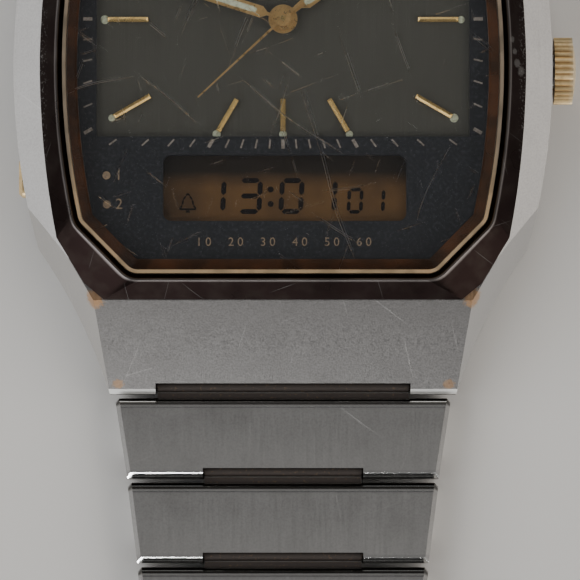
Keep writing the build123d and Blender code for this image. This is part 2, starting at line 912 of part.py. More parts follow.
# Display: a glass sandwich whose lower plate stands out for the contacts, over two rubber strips
display_width = 15.2
display_length = 4.7
display_glass_thickness = 0.55
display_ledge = 0.8
strip_width = 0.5
strip_length = 13.6

display_top_z = dial_plate_top_z - seat_gap
display_bottom_z = display_top_z - 2 * display_glass_thickness
strip_y = display_length / 2 - strip_width

with BuildPart() as lcd_panel:
    block(
        window_centre_x,
        window_y,
        display_width,
        display_length,
        display_bottom_z,
        display_bottom_z + display_glass_thickness,
    )
    block(
        window_centre_x,
        window_y,
        display_width - display_ledge,
        display_length,
        display_bottom_z,
        display_top_z,
    )
lcd_panel.part.label = "lcd_panel"
export_step(lcd_panel.part, "parts/lcd_panel.step")

with BuildPart() as zebra_strips:
    for way in (1, -1):
        block(
            window_centre_x,
            window_y + way * strip_y,
            strip_length,
            strip_width,
            main_plate_z,
            display_bottom_z,
        )
zebra_strips.part.label = "zebra_strips"
export_step(zebra_strips.part, "parts/zebra_strips.step")

# Module frame: moulded block with a room for battery and train below, and for the motion work above
frame_offset = -1.1
frame_wall = 1.0
motion_room = 1.85
blind_hole_depth = 0.15
stem_hole_radius = 0.5
display_pocket_gap = 0.08

frame_top_z = dial_plate_z - seat_gap
room_half_width = glass_half_width + frame_offset - frame_wall
room_half_length = glass_end_y + frame_offset - frame_wall

with BuildPart() as module_frame:
    glass_plate(frame_offset, bridge_z, frame_top_z)
    glass_plate(frame_offset - frame_wall, 0, main_plate_z, Mode.SUBTRACT)
    with BuildSketch(Plane.XY.offset(main_plate_top_z)):
        for place in (dial_place, minute_wheel_place):
            with Locations(place):
                Circle(motion_room)
        make_hull()
    extrude(amount=frame_top_z, mode=Mode.SUBTRACT)
    block(
        window_centre_x,
        window_y,
        display_width + 2 * display_pocket_gap,
        display_length + 2 * display_pocket_gap,
        display_bottom_z - seat_gap,
        frame_top_z + cut_over,
        Mode.SUBTRACT,
    )
    for way in (1, -1):
        block(
            window_centre_x,
            window_y + way * strip_y,
            strip_length + 2 * seat_gap,
            strip_width + 2 * seat_gap,
            0,
            frame_top_z,
            Mode.SUBTRACT,
        )
    bar_along_z(*dial_place, 0, frame_top_z, centre_pipe_radius + running_gap, Mode.SUBTRACT)
    bar_along_z(*minute_wheel_place, 0, frame_top_z, arbor_radius + running_gap, Mode.SUBTRACT)
    for place in (third_place, intermediate_place, rotor_place):
        bar_along_z(
            *place, 0, main_plate_z + blind_hole_depth, arbor_radius + running_gap, Mode.SUBTRACT
        )
    bar_along_x(0, case_half_width, 0, control_z, stem_hole_radius, Mode.SUBTRACT)
module_frame.part.label = "module_frame"
export_step(module_frame.part, "parts/module_frame.step")

# Circuit board under the display, with chip, quartz can and trimmer
board_inset = 2.7
board_length = 5.1
board_thickness = 0.3
chip_width = 2.2
chip_length = 1.8
chip_height = 0.5
chip_place_share = 0.33
chip_y = -6.0
can_radius = 0.75
can_length = 6.0
can_inset = 2.0
can_start_y = 1.9
trimmer_radius = 1.1
trimmer_height = 0.9
trimmer_inset = 1.9
trimmer_y = 4.6

board_width = 2 * (room_half_width - board_inset)
chip_x = board_width * chip_place_share
can_x = room_half_width - can_inset
trimmer_x = trimmer_inset - room_half_width
trimmer_top_z = main_plate_z - seat_gap
board_top_z = main_plate_z - seat_gap
board_bottom_z = board_top_z - board_thickness

with BuildPart() as circuit_board:
    block(window_centre_x, window_y, board_width, board_length, board_bottom_z, board_top_z)
circuit_board.part.label = "circuit_board"
export_step(circuit_board.part, "parts/circuit_board.step")

with BuildPart() as circuit_parts:
    block(chip_x, chip_y, chip_width, chip_length, board_bottom_z - chip_height, board_bottom_z)
    with BuildSketch(Plane.XZ.offset(-can_start_y)) as can_end:
        with Locations((can_x, main_plate_z - seat_gap - can_radius)):
            Circle(can_radius)
    extrude(can_end.sketch, amount=-can_length)
    bar_along_z(trimmer_x, trimmer_y, trimmer_top_z - trimmer_height, trimmer_top_z, trimmer_radius)
circuit_parts.part.label = "circuit_parts"
export_step(circuit_parts.part, "parts/circuit_parts.step")

# Battery and the strap that holds it
battery_radius_share = 0.43
battery_height = 1.6
battery_lid_step = 0.85
battery_lid_height = 0.3
battery_side_gap = 0.45
battery_end_gap = 0.2
strap_width = 2.4
strap_thickness = 0.15
strap_seat = 0.1
strap_overhang = 0.4

battery_radius = room_half_width * battery_radius_share
battery_x = battery_radius + battery_side_gap - room_half_width
battery_y = battery_radius + battery_end_gap - room_half_length
strap_start_x = -room_half_width - strap_seat
strap_end_x = battery_x + battery_radius + strap_overhang
battery_z = bridge_z + seat_gap
battery_top_z = battery_z + battery_height

with BuildPart() as battery:
    bar_along_z(battery_x, battery_y, battery_z, battery_top_z - battery_lid_height, battery_radius)
    bar_along_z(
        battery_x,
        battery_y,
        battery_top_z - battery_lid_height,
        battery_top_z,
        battery_radius - battery_lid_step,
    )
battery.part.label = "battery"
export_step(battery.part, "parts/battery.step")

with BuildPart() as battery_strap:
    block(
        (strap_start_x + strap_end_x) / 2,
        battery_y,
        strap_end_x - strap_start_x,
        strap_width,
        bridge_z - strap_thickness,
        bridge_z,
    )
battery_strap.part.label = "battery_strap"
export_step(battery_strap.part, "parts/battery_strap.step")

# Step motor: coil on its core, and the stator whose two legs carry it
coil_radius = 0.75
coil_start_x = 0.2
coil_inset = 3.0
coil_y = -8.6
core_radius = 0.22
core_overhang = 0.9
stator_head_radius = 1.5
stator_foot_radius = 0.6
stator_thickness = 0.3

coil_end_x = room_half_width - coil_inset
stator_z = bridge_top_z + seat_gap
coil_z = stator_z + stator_thickness + core_radius
stator_feet = ((coil_start_x - core_overhang / 2, coil_y), (coil_end_x + core_overhang / 2, coil_y))

with BuildPart() as coil:
    bar_along_x(coil_start_x - core_overhang, coil_end_x + core_overhang, coil_y, coil_z, core_radius)
    bar_along_x(coil_start_x, coil_end_x, coil_y, coil_z, coil_radius)
coil.part.label = "coil"
export_step(coil.part, "parts/coil.step")

with BuildPart() as stator:
    for foot in stator_feet:
        with BuildSketch(Plane.XY.offset(stator_z)):
            with Locations(rotor_place):
                Circle(stator_head_radius)
            with Locations(foot):
                Circle(stator_foot_radius)
            make_hull()
        extrude(amount=stator_thickness)
    bar_along_z(*rotor_place, 0, main_plate_z, rotor_magnet_radius + pusher_side_gap, Mode.SUBTRACT)
    bar_along_x(
        coil_start_x - running_gap,
        coil_end_x + running_gap,
        coil_y,
        coil_z,
        coil_radius + running_gap,
        Mode.SUBTRACT,
    )
stator.part.label = "stator"
export_step(stator.part, "parts/stator.step")

# Train bridge: lower bearing plate of the wheels, on two pillars under the main plate
bridge_end_radius = 0.8
pillar_radius = 0.45
pillar_distance = 7.0
side_pillar_place = (-1.0, -1.6)

end_pillar_place = from_dial_axis(pillar_distance, train_angle)

with BuildPart() as train_bridge:
    for first, last in (
        (end_pillar_place, rotor_place),
        (intermediate_place, side_pillar_place),
    ):
        with BuildSketch(Plane.XY.offset(bridge_z)):
            for place in (first, last):
                with Locations(place):
                    Circle(bridge_end_radius)
            make_hull()
        extrude(amount=bridge_thickness)
    for place in (end_pillar_place, side_pillar_place):
        bar_along_z(*place, bridge_z, main_plate_z, pillar_radius)
    for place in (third_place, intermediate_place, rotor_place):
        bar_along_z(*place, 0, bridge_top_z + seat_gap, arbor_radius + running_gap, Mode.SUBTRACT)
    bar_along_z(
        *dial_place, 0, bridge_top_z + seat_gap, second_arbor_radius + running_gap, Mode.SUBTRACT
    )
train_bridge.part.label = "train_bridge"
export_step(train_bridge.part, "parts/train_bridge.step")

# Crown, winding stem and the setting yoke that the stem's groove carries with it
crown_radius = 2.0
crown_length = 1.32
crown_gap = 0.16
crown_teeth = 32
crown_tooth_share = 0.94
crown_dome_radius = 1.3
crown_dome_height = 0.22
crown_recess_gap = 0.2
stem_inner_inset = 2.3
stem_end_gap = 0.4
groove_radius = 0.26
groove_inset = 1.5
groove_width = 0.44
yoke_thickness = 0.36
yoke_half_width = 1.2
yoke_bottom_z = 2.0

crown_x = case_half_width + crown_gap
crown_end_x = crown_x + crown_length
crown_recess_x = case_half_width + crown_tube_reach + seat_gap
stem_end_x = crown_end_x - stem_end_gap
stem_inner_x = room_half_width - stem_inner_inset
groove_start_x = room_half_width - groove_inset

crown_rim = []
for step in range(2 * crown_teeth):
    radius = crown_radius * (1 if step % 2 else crown_tooth_share)
    angle = math.pi * step / crown_teeth
    crown_rim.append((radius * math.cos(angle), radius * math.sin(angle)))

with BuildPart() as crown:
    with BuildSketch(Plane.YZ.offset(crown_x)):
        with Locations((0, control_z)):
            Polygon(*crown_rim, align=None)
    extrude(amount=crown_length - crown_dome_height)
    with BuildSketch(Plane.XZ):
        with BuildLine():
            Polyline(
                (crown_x, control_z),
                (crown_x, control_z + crown_radius * crown_tooth_share),
                (crown_end_x - crown_dome_height, control_z + crown_radius * crown_tooth_share),
                (crown_end_x - crown_dome_height / 2, control_z + crown_dome_radius),
            )
            TangentArc(
                (crown_end_x - crown_dome_height / 2, control_z + crown_dome_radius),
                (crown_end_x, control_z),
                tangent=(0, 1),
                tangent_from_first=False,
            )
            Line((crown_end_x, control_z), (crown_x, control_z))
        make_face()
    revolve(axis=Axis((0, 0, control_z), (1, 0, 0)))
    bar_along_x(0, crown_recess_x, 0, control_z, crown_tube_radius + crown_recess_gap, Mode.SUBTRACT)
    bar_along_x(0, stem_end_x, 0, control_z, stem_radius + pin_fit_gap, Mode.SUBTRACT)
crown.part.label = "crown"
export_step(crown.part, "parts/crown.step")

with BuildPart() as stem:
    bar_along_x(stem_inner_x, groove_start_x, 0, control_z, stem_radius)
    bar_along_x(groove_start_x, groove_start_x + groove_width, 0, control_z, groove_radius)
    bar_along_x(groove_start_x + groove_width, stem_end_x, 0, control_z, stem_radius)
stem.part.label = "stem"
export_step(stem.part, "parts/stem.step")

yoke_x = groove_start_x + (groove_width - yoke_thickness) / 2
yoke_slot_width = 2 * (groove_radius + running_gap)

with BuildPart() as setting_yoke:
    with BuildSketch(Plane.YZ.offset(yoke_x)) as yoke_face:
        with Locations((0, (yoke_bottom_z + main_plate_z - seat_gap) / 2)):
            Rectangle(2 * yoke_half_width, main_plate_z - seat_gap - yoke_bottom_z)
        with Locations((0, (yoke_bottom_z - cut_over + control_z) / 2)):
            Rectangle(yoke_slot_width, control_z + cut_over - yoke_bottom_z, mode=Mode.SUBTRACT)
        with Locations((0, control_z)):
            Circle(yoke_slot_width / 2, mode=Mode.SUBTRACT)
    extrude(yoke_face.sketch, amount=yoke_thickness)
setting_yoke.part.label = "setting_yoke"
export_step(setting_yoke.part, "parts/setting_yoke.step")

# Pushers in the left side, each with its spring under the head and its retaining collar inside
pusher_edge_round = 0.2
collar_radius = 0.62
collar_thickness = 0.16
spring_outer_radius = 0.6
spring_inner_radius = 0.44

pusher_outer_x = -pusher_wall_x - pusher_proud
pusher_head_x = pusher_outer_x + pusher_head_depth
glass_side_sag = glass_half_width - glass_shoulder_half_width
glass_side_radius = (glass_shoulder_y**2 + glass_side_sag**2) / (2 * glass_side_sag)
cavity_wall_x = (
    glass_half_width - glass_side_radius + math.sqrt(glass_side_radius**2 - pusher_y**2) - cavity_offset
)
collar_x = -cavity_wall_x + 2 * seat_gap

for name, end in (("upper", 1), ("lower", -1)):
    with BuildPart() as pusher:
        with BuildSketch(Plane.YZ.offset(pusher_outer_x)) as head:
            with Locations((end * pusher_y, control_z)):
                SlotOverall(pusher_length, pusher_height)
        extrude(head.sketch, amount=pusher_head_depth)
        chamfer(pusher.edges().group_by(Axis.X)[0], length=pusher_edge_round)
        bar_along_x(
            pusher_head_x, collar_x + collar_thickness, end * pusher_y, control_z, pusher_shaft_radius
        )
        bar_along_x(collar_x, collar_x + collar_thickness, end * pusher_y, control_z, collar_radius)
    pusher.part.label = f"pusher_{name}"
    export_step(pusher.part, f"parts/pusher_{name}.step")

    with BuildPart() as pusher_spring:
        bar_along_x(pusher_head_x, -pusher_pocket_x, end * pusher_y, control_z, spring_outer_radius)
        bar_along_x(
            pusher_outer_x, 0, end * pusher_y, control_z, spring_inner_radius, Mode.SUBTRACT
        )
    pusher_spring.part.label = f"pusher_spring_{name}"
    export_step(pusher_spring.part, f"parts/pusher_spring_{name}.step")

# Bracelet: each link has an eye and pin at its inner end and two ears at its outer end
knuckle_width = tongue_width - 2 * tongue_side_gap
neck_height = 0.7
pin_end_gap = 0.3
link_body_start = ear_reach + link_body_gap


# Eye, neck and pin at the inner end of a link or of the clasp, drawn into the open part
def hinge_eye(axis_y, way, eye_width):
    bar_along_x(-eye_width / 2, eye_width / 2, axis_y, hinge_z, knuckle_radius)
    neck_length = link_body_start + pin_fit_gap
    block(
        0,
        axis_y + way * neck_length / 2,
        eye_width,
        neck_length,
        hinge_z - neck_height / 2,
        hinge_z + neck_height / 2,
    )
    bar_along_x(-eye_width, eye_width, axis_y, hinge_z, hinge_pin_radius + pin_fit_gap, Mode.SUBTRACT)


# One link with its pin, the nth from the case on the side that way points to
def make_link(number, way):
    inner_y = way * (lug_axis_y + (number - 1) * link_pitch)
    outer_y = inner_y + way * link_pitch
    start_y = inner_y + way * link_body_start
    end_y = outer_y + way * ear_reach
    inner_half = bracelet_width(number - 1) / 2
    outer_half = bracelet_width(number) / 2
    eye_width = knuckle_width if number > 1 else lug_tongue_width - 2 * tongue_side_gap
    with BuildPart() as link:
        with BuildSketch(Plane.YZ.offset(-first_link_width)) as profile:
            with BuildLine():
                round_end = (start_y + way * link_top_round, link_thickness)
                RadiusArc(
                    (start_y, link_thickness - link_top_round), round_end, way * link_top_round
                )
                Polyline(
                    round_end,
                    (end_y, link_thickness),
                    (end_y, 0),
                    (start_y + way * link_relief_length, 0),
                    (start_y, hinge_z),
                    (start_y, link_thickness - link_top_round),
                )
            make_face()
        extrude(profile.sketch, amount=2 * first_link_width)
        with BuildSketch() as plan:
            Polygon(
                (inner_half, start_y),
                (outer_half, end_y),
                (-outer_half, end_y),
                (-inner_half, start_y),
                align=None,
            )
        extrude(plan.sketch, amount=link_thickness, mode=Mode.INTERSECT)
        top_face = link.faces().sort_by(Axis.Z)[-1]
        sides = top_face.edges().sort_by(Axis.X)
        chamfer([sides[0], sides[-1]], length=link_side_bevel)
        ends = link.edges().filter_by(Axis.X).group_by(Axis.Z)[-1]
        chamfer(ends.sort_by(Axis.Y)[-1 if way > 0 else 0], length=ear_chamfer)
        cut_hinge_notch(outer_y, way, tongue_width)
        bar_along_x(
            -outer_half * 2,
            outer_half * 2,
            outer_y,
            hinge_z,
            hinge_pin_radius + running_gap,
            Mode.SUBTRACT,
        )
        hinge_eye(inner_y, way, eye_width)
    with BuildPart() as pin:
        half_length = min(inner_half, lug_tip_half_width) - pin_end_gap
        bar_along_x(-half_length, half_length, inner_y, hinge_z, hinge_pin_radius)
    return Compound(label=f"link_{number}", children=[link.part, pin.part])


for side_name, way in (("12_side", 1), ("6_side", -1)):
    for number in range(1, links_per_side + 1):
        bracelet_link = make_link(number, way)
        bracelet_link.label = f"link_{side_name}_{number}"
        export_step(bracelet_link, f"parts/link_{side_name}_{number}.step")

# Clasp: a cover over two blades that fold out. The loop is open at the short blade's far eye
cover_length = 29.2
cover_side_step = 0.2
cover_top_z = 4.1
cover_top_thickness = 0.8
cover_wall = 0.75
cover_block_length = 1.75
cover_ramp_length = 2.6
cover_end_round = 0.6
cover_edge_bevel = 0.3
cover_notch_length = 3.2
cover_notch_side = 2.15
blade_thickness = 0.6
blade_side_gap = 0.15
blade_eye_radius = 0.55
fold_end_gap = 1.1
long_blade_z = 2.3
short_blade_z = 1.0
blade_fold_start = 8.5
blade_fold_z = 2.0
middle_eye_width_share = 0.51
side_eye_inset = 0.3
eye_side_gap = 0.12
short_blade_side_gap = 0.5
short_blade_overhang = 0.75
cover_relief_length = 0.6

cover_width = last_link_width + 2 * cover_side_step
cover_notch_width = cover_width - 2 * cover_notch_side
short_blade_width = cover_notch_width - 2 * short_blade_side_gap
middle_eye_width = short_blade_width * middle_eye_width_share
side_eye_width = (short_blade_width - middle_eye_width) / 2 - side_eye_inset
cover_axis_y = lug_axis_y + links_per_side * link_pitch
cover_start_y = cover_axis_y + link_body_start
cover_end_y = cover_start_y + cover_length
fold_y = cover_end_y - fold_end_gap
fold_z = long_blade_z + blade_thickness / 2
blade_fold_y = cover_axis_y + blade_fold_start
end_eye_y = cover_end_y + short_blade_overhang
end_eye_z = short_blade_z + blade_thickness / 2
channel_width = cover_width - 2 * cover_wall
channel_top_z = cover_top_z - cover_top_thickness
channel_start_y = cover_start_y + cover_block_length
long_blade_width = channel_width - 2 * blade_side_gap

with BuildPart() as clasp_cover:
    with BuildSketch(Plane.YZ.offset(-cover_width / 2)):
        with BuildLine():
            Polyline(
                (cover_start_y, hinge_z),
                (cover_start_y, link_thickness),
                (cover_start_y + cover_ramp_length, cover_top_z),
                (cover_end_y, cover_top_z),
                (cover_end_y, 0),
                (cover_start_y + cover_relief_length, 0),
                close=True,
            )
        make_face()
    extrude(amount=cover_width)
    cross_edges = clasp_cover.edges().filter_by(Axis.X)
    far_edge = cross_edges.sort_by(lambda edge: edge.center().Y + edge.center().Z)[-1]
    fillet(far_edge, radius=cover_end_round)
    side_edges = clasp_cover.edges().filter_by(Axis.Y).group_by(Axis.Z)[-1]
    chamfer(side_edges, length=cover_edge_bevel)
    block(
        0,
        (channel_start_y + cover_end_y + cut_over) / 2,
        channel_width,
        cover_end_y + cut_over - channel_start_y,
        -cut_over,
        channel_top_z,
        Mode.SUBTRACT,
    )
    block(
        0,
        cover_end_y + (cut_over - cover_notch_length) / 2,
        cover_notch_width,
        cover_notch_length + cut_over,
        0,
        cover_top_z + cut_over,
        Mode.SUBTRACT,
    )
    bar_along_x(
        -cover_width, cover_width, fold_y, fold_z, hinge_pin_radius + pin_fit_gap, Mode.SUBTRACT
    )
    hinge_eye(cover_axis_y, 1, knuckle_width)
with BuildPart() as cover_pin:
    cover_pin_half = bracelet_width(links_per_side) / 2 - pin_end_gap
    bar_along_x(-cover_pin_half, cover_pin_half, cover_axis_y, hinge_z, hinge_pin_radius)
with BuildPart() as fold_pin:
    fold_pin_half = cover_width / 2 - pin_end_gap
    bar_along_x(-fold_pin_half, fold_pin_half, fold_y, fold_z, hinge_pin_radius)
cover_set = Compound(
    label="clasp_cover", children=[clasp_cover.part, cover_pin.part, fold_pin.part]
)
export_step(cover_set, "parts/clasp_cover.step")

with BuildPart() as clasp_blade_long:
    block(
        0,
        (blade_fold_y + fold_y) / 2,
        long_blade_width,
        fold_y - blade_fold_y,
        long_blade_z,
        long_blade_z + blade_thickness,
    )
    bar_along_x(-long_blade_width / 2, long_blade_width / 2, fold_y, fold_z, blade_eye_radius)
    for side in (1, -1):
        block(
            side * (middle_eye_width / 2 + eye_side_gap + long_blade_width),
            blade_fold_y,
            2 * long_blade_width,
            2 * (blade_eye_radius + eye_side_gap),
            0,
            cover_top_z,
            Mode.SUBTRACT,
        )
    bar_along_x(
        -middle_eye_width / 2, middle_eye_width / 2, blade_fold_y, blade_fold_z, blade_eye_radius
    )
    bar_along_x(
        -cover_width, cover_width, fold_y, fold_z, hinge_pin_radius + running_gap, Mode.SUBTRACT
    )
    bar_along_x(
        -cover_width,
        cover_width,
        blade_fold_y,
        blade_fold_z,
        hinge_pin_radius + pin_fit_gap,
        Mode.SUBTRACT,
    )
with BuildPart() as blade_pin:
    blade_pin_half = middle_eye_width / 2 + eye_side_gap + side_eye_width
    bar_along_x(-blade_pin_half, blade_pin_half, blade_fold_y, blade_fold_z, hinge_pin_radius)
long_set = Compound(label="clasp_blade_long", children=[clasp_blade_long.part, blade_pin.part])
export_step(long_set, "parts/clasp_blade_long.step")

with BuildPart() as clasp_blade_short:
    block(
        0,
        (blade_fold_y + end_eye_y) / 2,
        short_blade_width,
        end_eye_y - blade_fold_y,
        short_blade_z,
        short_blade_z + blade_thickness,
    )
    block(
        0,
        blade_fold_y,
        middle_eye_width + 2 * eye_side_gap,
        2 * (blade_eye_radius + eye_side_gap),
        0,
        cover_top_z,
        Mode.SUBTRACT,
    )
    for side in (1, -1):
        inner_x = side * (middle_eye_width / 2 + eye_side_gap)
        outer_x = inner_x + side * side_eye_width
        bar_along_x(
            min(inner_x, outer_x), max(inner_x, outer_x), blade_fold_y, blade_fold_z, blade_eye_radius
        )
    bar_along_x(
        -short_blade_width / 2, short_blade_width / 2, end_eye_y, end_eye_z, blade_eye_radius
    )
    bar_along_x(
        -cover_width,
        cover_width,
        blade_fold_y,
        blade_fold_z,
        hinge_pin_radius + running_gap,
        Mode.SUBTRACT,
    )
    bar_along_x(
        -cover_width, cover_width, end_eye_y, end_eye_z, hinge_pin_radius + pin_fit_gap, Mode.SUBTRACT
    )
with BuildPart() as end_pin:
    end_pin_half = last_link_width / 2 - pin_end_gap
    bar_along_x(-end_pin_half, end_pin_half, end_eye_y, end_eye_z, hinge_pin_radius)
short_set = Compound(label="clasp_blade_short", children=[clasp_blade_short.part, end_pin.part])
export_step(short_set, "parts/clasp_blade_short.step")
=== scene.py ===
import math
import bmesh
import bpy
from mathutils import Matrix, Vector


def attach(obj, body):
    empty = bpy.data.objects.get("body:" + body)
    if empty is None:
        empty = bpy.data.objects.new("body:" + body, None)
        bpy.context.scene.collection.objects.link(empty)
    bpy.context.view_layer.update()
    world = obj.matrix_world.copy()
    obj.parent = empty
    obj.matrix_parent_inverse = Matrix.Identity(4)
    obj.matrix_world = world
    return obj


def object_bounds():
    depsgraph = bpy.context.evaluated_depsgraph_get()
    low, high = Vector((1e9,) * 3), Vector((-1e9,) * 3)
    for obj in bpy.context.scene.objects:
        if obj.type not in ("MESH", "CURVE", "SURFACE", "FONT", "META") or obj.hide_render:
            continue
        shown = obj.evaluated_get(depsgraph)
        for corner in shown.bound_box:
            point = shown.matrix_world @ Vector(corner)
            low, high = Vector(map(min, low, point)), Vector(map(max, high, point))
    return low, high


# Wristwatch with hands and a small liquid crystal display, on a steel link bracelet. It lies flat and
# face up: +Z goes up through the crystal, +Y points to 12 o'clock, +X to the crown. Lengths are metres.
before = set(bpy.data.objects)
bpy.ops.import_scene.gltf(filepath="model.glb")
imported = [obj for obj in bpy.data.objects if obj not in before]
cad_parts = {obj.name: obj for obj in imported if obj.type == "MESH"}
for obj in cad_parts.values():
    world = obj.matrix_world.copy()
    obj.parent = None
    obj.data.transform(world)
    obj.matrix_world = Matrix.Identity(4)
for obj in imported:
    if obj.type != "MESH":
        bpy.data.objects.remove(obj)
cad_low, cad_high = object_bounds()
MM = 0.001

# Case middle
# A steel casting, milled and then brushed by hand, whose lugs slope down to the bracelet. Its sideways
# leaning flanks and the bevels of its lug tips carry a painted highlight, the lug slopes painted shade
# towards the bezel, and the low places by the first hinge painted shade with flecks of dust. Years of
# wear have left fine cross scratches and brown dirt in the corners
case_steel_colour = (0.35, 0.342, 0.336, 1)
wear_and_lit_colour = (0.66, 0.65, 0.63, 1)
dirt_colour = (0.58, 0.34, 0.17, 1)
grime_and_shade_colour = (0.045, 0.038, 0.032, 1)
bevel_highlight_colour = (0.92, 0.92, 0.90, 1)
flank_highlight_colour = (0.62, 0.61, 0.60, 1)
knuckle_shade_and_dirt_colour = (0.105, 0.088, 0.08, 1)
dirt_fleck_colour = (0.30, 0.21, 0.13, 1)
case_corner_spots = (
    (-11.2, -13.85, 6.2), (11.3, -13.8, 6.2), (-11.2, 13.85, 6.2), (11.25, 13.8, 6.2)
)
case_corner_spot_radius = 0.62
lug_tip_spots = ((-9.85, -18.72, 2.8), (9.9, -18.74, 2.8), (-9.9, 18.7, 2.8), (9.9, 18.72, 2.8))
lug_tip_spot_radius = 0.36
first_hinge_y = 18.8 * MM
hinge_pitch = 5.05 * MM
hinge_reach = 0.3 * hinge_pitch
knuckle_shares = (0.15, 0.19)
knuckle_top_z = (1.92 * MM, 2.06 * MM)
fleck_noise_scale = 5200.0
lug_slope_y = (14.0 * MM, 18.6 * MM)
lug_slope_least_shade = 0.3
side_bevel_leans = (0.3, 0.5)
lug_flank_leans = (0.62, 0.7)
lug_slope_sideways = 0.585
lug_bevel_sideways = 0.885
sideways_leeway = 0.03
upward_least = 0.3
brushed_patch_scale = 420.0
scratch_turns = (0.35, 1.25, 2.2, 2.85)
scratch_shift = (0.013, 0.007, 0.0)
scratch_bend = 0.7
scratch_bend_scale = 90.0
scratch_cell_step = 7.31
scratch_length_share = 0.55
scratch_sharpness = 6.0
spot_noise_scale = 5200.0
spot_raggedness = 1.6
spot_reach = 1.9
spot_sharpness = 2.2


def named_group(name, inputs, outputs):
    group = bpy.data.node_groups.new(name, "ShaderNodeTree")
    for label, kind, value in inputs:
        socket = group.interface.new_socket(name=label, in_out="INPUT", socket_type=kind)
        if value is not None:
            socket.default_value = value
    for label in outputs:
        group.interface.new_socket(name=label, in_out="OUTPUT", socket_type="NodeSocketFloat")
    return group, group.nodes.new("NodeGroupInput").outputs, group.nodes.new("NodeGroupOutput").inputs


def add_node(tree, kind, inputs=None, **settings):
    node = tree.nodes.new(kind)
    for name, value in settings.items():
        setattr(node, name, value)
    for key, value in (inputs or {}).items():
        socket = node.inputs[key]
        if isinstance(value, bpy.types.NodeSocket):
            tree.links.new(value, socket)
        else:
            socket.default_value = value
    return node


def add_math(tree, operation, first, second=None, clamp=False):
    inputs = {0: first}
    if second is not None:
        inputs[1] = second
    return add_node(tree, "ShaderNodeMath", inputs, operation=operation, use_clamp=clamp).outputs[0]


def add_vector(tree, x=0.0, y=0.0, z=0.0):
    return add_node(tree, "ShaderNodeCombineXYZ", {"X": x, "Y": y, "Z": z}).outputs[0]


def add_vector_math(tree, operation, first, second, output="Vector"):
    node = add_node(tree, "ShaderNodeVectorMath", {0: first, 1: second}, operation=operation)
    return node.outputs[output]


def add_turn(tree, vector, angle):
    inputs = {"Vector": vector, "Angle": angle}
    return add_node(tree, "ShaderNodeVectorRotate", inputs, rotation_type="Z_AXIS").outputs[0]


def add_noise(tree, vector, scale, detail, roughness=0.5):
    inputs = {"Vector": vector, "Scale": scale, "Detail": detail, "Roughness": roughness}
    return add_node(tree, "ShaderNodeTexNoise", inputs).outputs["Fac"]


def build_brushing_group():
    """A grain drawn out along one direction, and broad soft patches."""
    group, given, made = named_group(
        "brushed grain",
        (
            ("Vector", "NodeSocketVector", None),
            ("Turn", "NodeSocketFloat", 0.0),
            ("Lines per metre", "NodeSocketFloat", 9000.0),
            ("Length share", "NodeSocketFloat", 0.03),
        ),
        ("Grain", "Patches"),
    )
    turned = add_turn(group, given["Vector"], given["Turn"])
    lines = given["Lines per metre"]
    stretch = add_vector(group, lines, add_math(group, "MULTIPLY", lines, given["Length share"]), lines)
    stretched = add_vector_math(group, "MULTIPLY", turned, stretch)
    group.links.new(add_noise(group, stretched, 1.0, 3.0), made["Grain"])
    group.links.new(add_noise(group, turned, brushed_patch_scale, 2.0), made["Patches"])
    return group


def build_scratch_group():
    """Thin bent lines in several directions, each one broken off by chance along its length."""
    group, given, made = named_group(
        "fine scratches",
        (
            ("Vector", "NodeSocketVector", None),
            ("Cells per metre", "NodeSocketFloat", 260.0),
            ("Width", "NodeSocketFloat", 0.012),
            ("Share", "NodeSocketFloat", 0.5),
        ),
        ("Scratch",),
    )
    least_chance = add_math(group, "SUBTRACT", 1.0, given["Share"])
    total = None
    for number, turn in enumerate(scratch_turns):
        shift = tuple(number * part for part in scratch_shift)
        shifted = add_vector_math(group, "ADD", add_turn(group, given["Vector"], turn), shift)
        bend = add_noise(group, shifted, scratch_bend_scale, 1.0)
        cells = add_vector_math(group, "MULTIPLY", shifted, given["Cells per metre"])
        across = add_node(group, "ShaderNodeSeparateXYZ", {0: cells}).outputs
        place = add_math(group, "ADD", across["X"], add_math(group, "MULTIPLY", bend, scratch_bend))
        off_centre = add_math(group, "SUBTRACT", add_math(group, "FRACT", place), 0.5)
        line = add_math(group, "LESS_THAN", add_math(group, "ABSOLUTE", off_centre), given["Width"])
        along = add_vector(
            group,
            add_math(group, "MULTIPLY", add_math(group, "FLOOR", place), scratch_cell_step),
            add_math(group, "MULTIPLY", across["Y"], scratch_length_share),
        )
        over = add_math(group, "SUBTRACT", add_noise(group, along, 1.0, 1.0), least_chance)
        shown = add_math(group, "MULTIPLY", over, scratch_sharpness, clamp=True)
        mark = add_math(group, "MULTIPLY", line, shown)
        total = mark if total is None else add_math(group, "MAXIMUM", total, mark)
    group.links.new(total, made["Scratch"])
    return group


def build_spot_group():
    """A patch with a ragged edge round one point."""
    group, given, made = named_group(
        "worn spot",
        (
            ("Vector", "NodeSocketVector", None),
            ("Centre", "NodeSocketVector", (0.0, 0.0, 0.0)),
            ("Radius", "NodeSocketFloat", 0.0006),
        ),
        ("Mask",),
    )
    noise = add_noise(group, given["Vector"], spot_noise_scale, 5.0, 0.7)
    ragged = add_math(group, "MULTIPLY", noise, spot_raggedness)
    distance = add_vector_math(group, "DISTANCE", given["Vector"], given["Centre"], "Value")
    edge = add_math(group, "ADD", add_math(group, "DIVIDE", distance, given["Radius"]), ragged)
    inside = add_math(group, "SUBTRACT", spot_reach, edge)
    group.links.new(add_math(group, "MULTIPLY", inside, spot_sharpness, clamp=True), made["Mask"])
    return group


brushing = build_brushing_group()
scratches = build_scratch_group()
worn_spot = build_spot_group()


